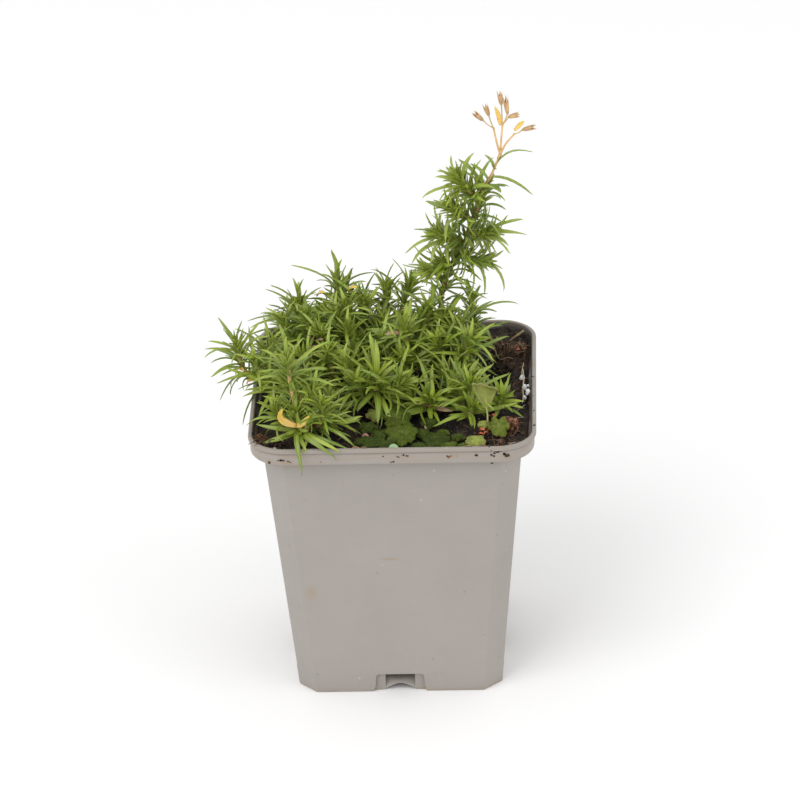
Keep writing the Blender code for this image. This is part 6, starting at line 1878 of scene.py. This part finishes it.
stone_rng = random.Random(60)
for name, ((x, y), half_sizes, rough, colour, pale, slot, roughness) in STONES.items():
    made = stone_mesh(name + "_fine", x, y, half_sizes, rough, stone_rng)
    perlite_skin = grain_material(name + "_skin", colour, pale, roughness)
    made.data.materials.append(perlite_skin)
    put(made, slot, name)
for number, (x, y, *half_sizes) in enumerate(LESSER_STONES):
    made = stone_mesh(f"perlite_chip_{number + 1}", x, y, half_sizes, 0.45, stone_rng)
    made.data.materials.append(perlite_skin)
    put(made, "perlite")


# Dry twig and loose roots: a short olive-brown twig leans on the rim at the back right corner, and
# thin pale roots show in the hollow, torn free when the plug was potted on.

TWIG_ROUTE = [(35.6, 33.6), (38, 34.8, 92.2), (40.9, 36.4, 93.7)]
TWIG_OLIVE = (0.300, 0.260, 0.100)
TWIG_BROWN = (0.190, 0.110, 0.055)
PALE_ROOTS = [
    # thickness, then the root's route, each point's height over the peat
    (0.24, [(40.6, 10.2, 3.2), (40.9, 5.0, 2.2), (40.7, 0.0, 1.2), (40.8, -6.4, 1.4), (40.4, -8.4, 0.4)]),
    (0.13, [(40.9, 14.0, 3.4), (40.2, 10.0, 1.4), (41.2, 6.0, 1.0)]),
    (0.15, [(38.0, -12.0, 0.6), (40.0, -13.6, 1.5), (41.4, -13.0, 2.3)]),
    (0.10, [(38.4, -14.0, 0.5), (40.0, -13.2, 1.1), (41.3, -14.6, 1.9)]),
    (0.16, [(33.4, 33.0, 1.6), (35.2, 29.8, 1.9), (37.2, 28.0, 1.6), (39.6, 27.6, 2.0)]),
    (0.13, [(31.2, 31.0, 1.2), (33.0, 27.4, 0.8), (35.8, 25.6, 1.0), (38.2, 22.2, 0.7)]),
    (0.14, [(35.0, -38.6, 0.4), (37.4, -37.2, 1.3), (39.6, -35.0, 0.8)]),
    (0.12, [(37.0, -21.0, 0.5), (39.2, -19.8, 1.2), (41.2, -20.4, 1.6)]),
]
ROOT_CREAM = (0.520, 0.380, 0.230)
ROOT_GREY = (0.400, 0.330, 0.260)

twig_x, twig_y = TWIG_ROUTE[0]
twig_path = smooth_path([Vector((twig_x, twig_y, ground(twig_x, twig_y) + 0.8))]
                        + [Vector(p) for p in TWIG_ROUTE[1:]], 6)
twig_points, twig_faces = [], []
twig_radii = [0.5 - 0.12 * number / (len(twig_path) - 1) + 0.04 * math.sin(number * 1.7)
              for number in range(len(twig_path))]
sweep(twig_points, twig_faces, twig_path, twig_radii, 10)
twig_ages = [(number // 10) / (len(twig_path) - 1) for number in range(len(twig_points))]
piece("dry_twig_fine", twig_points, twig_faces,
      attribute_colour_material("twig_bark", "age", TWIG_BROWN, TWIG_OLIVE, 400.0, 0.35, 0.75, relief=0.8),
      "dry_leaf", ("dry_twig",), values={"age": twig_ages})

root_points, root_faces, root_ages = [], [], []
for radius, route in PALE_ROOTS:
    path = smooth_path([Vector((x, y, ground(x, y) + over)) for x, y, over in route], 5)
    before = len(root_points)
    sweep(root_points, root_faces, path, [radius] * (len(path) - 2) + [radius * 0.7, radius * 0.3], 6)
    root_ages.extend([(number // 6) / (len(path) - 1) for number in range(len(root_points) - before)])
piece("pale_roots", root_points, root_faces,
      attribute_colour_material("root_skin", "age", ROOT_CREAM, ROOT_GREY, 500.0, 0.2, 0.6), "root_fibre",
      values={"age": root_ages})


# Small spent leaves: shrivelled yellow, orange and brown leaves caught low in the mound and on the
# peat, each curled as it dried.

SPENT_LEAVES = [
    # foot, tip, width and how it is spent
    ((-14.6, 21.4, 116.2), (-10.9, 20.0, 117.6), 2.0, "yellow"), ((-24.6, 21.0, 114.8), (-21.6, 20.0, 116.4), 1.7, "yellow"),
    ((-49.4, -7.4, 103.2), (-46.6, -9.0, 103.4), 1.6, "yellow"), ((-46.2, -8.4, 98.9), (-44.2, -9.4, 100.2), 1.5, "yellow"),
    ((-26.4, -1.5, 106.0), (-23.2, -2.6, 108.3), 1.9, "dry"), ((-24.4, -1.0, 108.7), (-21.8, -2.0, 110.8), 1.7, "dry"),
    ((-23.4, -2.0, 104.2), (-20.0, -3.4, 104.0), 1.9, "dry"), ((-25.6, -2.4, 104.8), (-23.0, -3.2, 106.0), 1.4, "red"),
    ((27.0, -29.4, 91.6), (29.0, -30.6, 92.6), 1.3, "red"), ((28.4, -32.0, 91.4), (30.0, -31.2, 92.4), 1.1, "red"),
    ((26.8, -31.4, 91.4), (28.4, -32.4, 92.1), 1.1, "red"), ((30.6, -21.0, 92.4), (32.4, -22.8, 93.4), 1.3, "red"),
    ((38.6, 23.4, 93.2), (39.8, 22.4, 94.0), 1.2, "red"), ((-12.4, -41.0, 92.0), (-9.6, -41.6, 92.4), 0.9, "dry"),
    ((21.0, -16.4, 92.6), (23.6, -18.0, 92.4), 1.6, "dry"), ((-33.8, -26.0, 91.2), (-31.0, -27.2, 91.6), 1.4, "dry"),
    ((16.2, 22.0, 93.0), (18.8, 24.0, 93.4), 1.5, "dry"), ((11.9, -26.2, 91.4), (10.2, -29.0, 92.8), 1.9, "dry"),
]
SPENT_FINISHES = {
    "yellow": dying_finish, "dry": dry_finish,
    "red": spent_leaf_material("reddened_leaf", (0.480, 0.070, 0.040), (0.680, 0.220, 0.095), 0.3, 0.5),
}
spent = {finish: Foliage() for finish in SPENT_FINISHES}
spent_rng = random.Random(77)
for foot, tip, width, finish in SPENT_LEAVES:
    foot, tip = Vector(foot), Vector(tip)
    over = (tip - foot).normalized().cross(Vector((0.3, 1, 0.2))).normalized()
    curl = foot.lerp(tip, 0.5) + over * (tip - foot).length * 0.22
    spent[finish].add_leaf((foot, curl, tip, over, width, 0.5), spent_rng)
for finish, leaves in spent.items():
    piece(f"spent_{finish}_leaves", leaves.points, leaves.faces, SPENT_FINISHES[finish],
          "yellow_leaf" if finish == "yellow" else "dry_leaf", uvs=leaves.uvs)


# Soil on the rim: crumbs that splashed or fell on the band and lip while the pot was filled and
# watered, and a few strands caught on the front left corner.

RIM_DIRT = [
    # place along the front and height, then size
    (-34.2, 90.0, 0.50), (-33.0, 87.2, 0.72), (-30.2, 87.2, 0.70), (-31.8, 89.6, 0.3), (-3.6, 87.7, 0.40),
    (0.5, 88.9, 0.40), (1.8, 93.0, 0.42), (2.1, 90.9, 0.34), (4.0, 91.3, 0.44), (5.2, 91.0, 0.26),
    (17.9, 90.8, 0.48), (21.5, 87.8, 0.46), (26.2, 91.1, 0.50), (28.0, 87.7, 0.50), (31.0, 90.8, 0.46),
    (31.1, 86.4, 0.58), (33.0, 92.0, 0.50), (34.9, 90.7, 0.66), (26.5, 87.9, 0.40), (33.7, 92.2, 0.52),
    (-22.0, 89.3, 0.24), (10.5, 92.9, 0.26), (14.2, 92.9, 0.22), (-16.5, 87.5, 0.28), (8.2, 87.4, 0.24),
    (29.3, 92.6, 0.36), (31.8, 91.6, 0.34), (23.8, 92.7, 0.28), (-12.8, 92.8, 0.24), (-37.8, 88.8, 0.34),
]
LIP_DIRT = [(-41.5, -37.0, 0.8), (-40.2, -39.3, 0.7), (-42.6, -35.6, 0.65), (-38.9, -40.6, 0.6),
            (-41.0, -38.4, 0.6), (-43.2, -33.2, 0.4), (43.9, -20.5, 0.4), (44.1, -30.4, 0.45),
            (43.7, 3.1, 0.4), (30.5, -43.9, 0.4), (-20.4, -43.9, 0.3), (12.6, -43.8, 0.3),
            (34.6, -43.4, 0.4), (38.9, -41.4, 0.4), (24.9, -43.9, 0.3), (43.8, -10.0, 0.3)]
LIP_FLECKS = [(-11.0, -43.6), (-8.4, -43.9), (24.0, -43.9), (28.6, -43.8), (37.0, -42.6)]
RUST_BROWN = (0.200, 0.085, 0.035)


def face_y(x, half):
    """Where the rim's front face stands at a place along it."""
    straight = RIM_HALF - RIM_CORNER
    past = max(0.0, abs(x) - straight)
    return -(straight + math.sqrt(max(0.0, (half - straight) ** 2 - past ** 2)))


dirt_rng = random.Random(83)
dirt = {"dark": ([], []), "rust": ([], [])}
for x, z, size in RIM_DIRT:
    y = face_y(x, BAND_HALF) if z > SHOULDER_Z + 0.9 else -body_half(z)
    for _ in range(4):
        spot = Vector((x + dirt_rng.gauss(0, size * 0.9), y + size * 0.25, z + dirt_rng.gauss(0, size * 0.5)))
        tone = "rust" if dirt_rng.random() < 0.45 else "dark"
        crumb(*dirt[tone], spot, size * dirt_rng.uniform(0.5, 1.2), dirt_rng)
for x, y, size in LIP_DIRT:
    for _ in range(3):
        spot = Vector((x + dirt_rng.gauss(0, size * 0.6), y + dirt_rng.gauss(0, size * 0.6), POT_HEIGHT))
        crumb(*dirt["dark"], spot, size * dirt_rng.uniform(0.35, 0.8), dirt_rng)
for _ in range(16):
    start = Vector((-40.5 + dirt_rng.gauss(0, 1.4), -38.0 + dirt_rng.gauss(0, 1.4), POT_HEIGHT + 0.1))
    heading = Vector((dirt_rng.uniform(-1, 1), dirt_rng.uniform(-1, 1), 0)).normalized()
    lift = Vector((0, 0, dirt_rng.uniform(0.3, 1.2)))
    strand_path = smooth_path([start - heading * 1.6, start + lift, start + heading * 1.8 - lift * 0.2], 4)
    sweep(*dirt["rust"], strand_path, [0.11] * len(strand_path), 5)
piece("rim_dirt", *dirt["dark"], peat_finish, "peat")
piece("rim_dirt_brown", *dirt["rust"], peat_material("rusty_soil", PEAT_BROWN, RUST_BROWN, CLUMP_LIGHT), "peat")
fleck_points, fleck_faces = [], []
for x, y in LIP_FLECKS:
    heading = Vector((1.0, dirt_rng.uniform(-0.2, 0.2), 0.0))
    middle = Vector((x, y, POT_HEIGHT + 0.12))
    fleck_path = smooth_path([middle - heading * 0.9, middle + Vector((0, 0, 0.25)), middle + heading * 0.8], 3)
    sweep(fleck_points, fleck_faces, fleck_path, [0.16] * len(fleck_path), 5)
piece("lip_flecks", fleck_points, fleck_faces, fibre_finish, "root_fibre")


# Floor, light and camera: a plain pale studio with one large soft key at the upper left, a weaker fill
# at the right and an even white surround. The camera looks down at the pot's front from about 27
# degrees, as in the photograph.

FLOOR_HALF = 6.0            # metres
CAMERA_TARGET = (1.606, 0.0, 87.871)
CAMERA_YAW = 2.161          # degrees to the right of straight ahead
CAMERA_PITCH = 27.039       # degrees of looking down
CAMERA_ROLL = -1.878
CAMERA_DISTANCE = 1621.24
CAMERA_LENS = 229.99        # on a sensor 36 mm wide


def floor_material():
    """A matt white studio floor."""
    made, tree, shader = material("studio_floor")
    shader.inputs["Base Color"].default_value = (0.95, 0.95, 0.95, 1.0)
    shader.inputs["Roughness"].default_value = 0.9
    shader.inputs["Specular IOR Level"].default_value = 0.1
    return made


def area_light(name, place, size, power, aim):
    """A square soft light at a place, turned to face its aim."""
    lamp = bpy.data.lights.new(name, "AREA")
    lamp.size = size
    lamp.energy = power
    made = bpy.data.objects.new(name, lamp)
    bpy.context.scene.collection.objects.link(made)
    made.location = place
    made.rotation_euler = (Vector(aim) - Vector(place)).to_track_quat("-Z", "Y").to_euler()
    return made


floor_mesh = bpy.data.meshes.new("floor")
floor_built = bmesh.new()
bmesh.ops.create_grid(floor_built, x_segments=1, y_segments=1, size=FLOOR_HALF)
floor_built.to_mesh(floor_mesh)
floor_built.free()
floor = bpy.data.objects.new("floor", floor_mesh)
bpy.context.scene.collection.objects.link(floor)
floor.data.materials.append(floor_material())

area_light("key_light", (-0.75, -0.95, 1.35), 1.1, 11.0, (0.0, 0.0, 0.1))
area_light("fill_light", (1.1, -0.6, 0.7), 1.0, 3.0, (0.0, 0.0, 0.1))
surround = bpy.data.worlds.new("surround")
surround.use_nodes = True
surround.node_tree.nodes["Background"].inputs["Color"].default_value = (1.0, 1.0, 1.0, 1.0)
surround.node_tree.nodes["Background"].inputs["Strength"].default_value = 0.87
bpy.context.scene.world = surround
bpy.context.scene.view_settings.view_transform = "Standard"

yaw, pitch, roll = (math.radians(value) for value in (CAMERA_YAW, CAMERA_PITCH, CAMERA_ROLL))
back = Vector((math.sin(yaw) * math.cos(pitch), -math.cos(yaw) * math.cos(pitch), math.sin(pitch)))
level_right = (-back).cross(Vector((0, 0, 1))).normalized()
level_up = level_right.cross(-back)
right = math.cos(roll) * level_right + math.sin(roll) * level_up
up = -math.sin(roll) * level_right + math.cos(roll) * level_up
camera_data = bpy.data.cameras.new("camera")
camera_data.lens = CAMERA_LENS
camera_data.sensor_width = 36.0
camera_data.clip_start = 0.05
camera_data.clip_end = 30.0
camera = bpy.data.objects.new("camera", camera_data)
bpy.context.scene.collection.objects.link(camera)
stand = (Vector(CAMERA_TARGET) + back * CAMERA_DISTANCE) * MM
camera.matrix_world = Matrix.Translation(stand) @ Matrix((right, up, back)).transposed().to_4x4()
bpy.context.scene.camera = camera
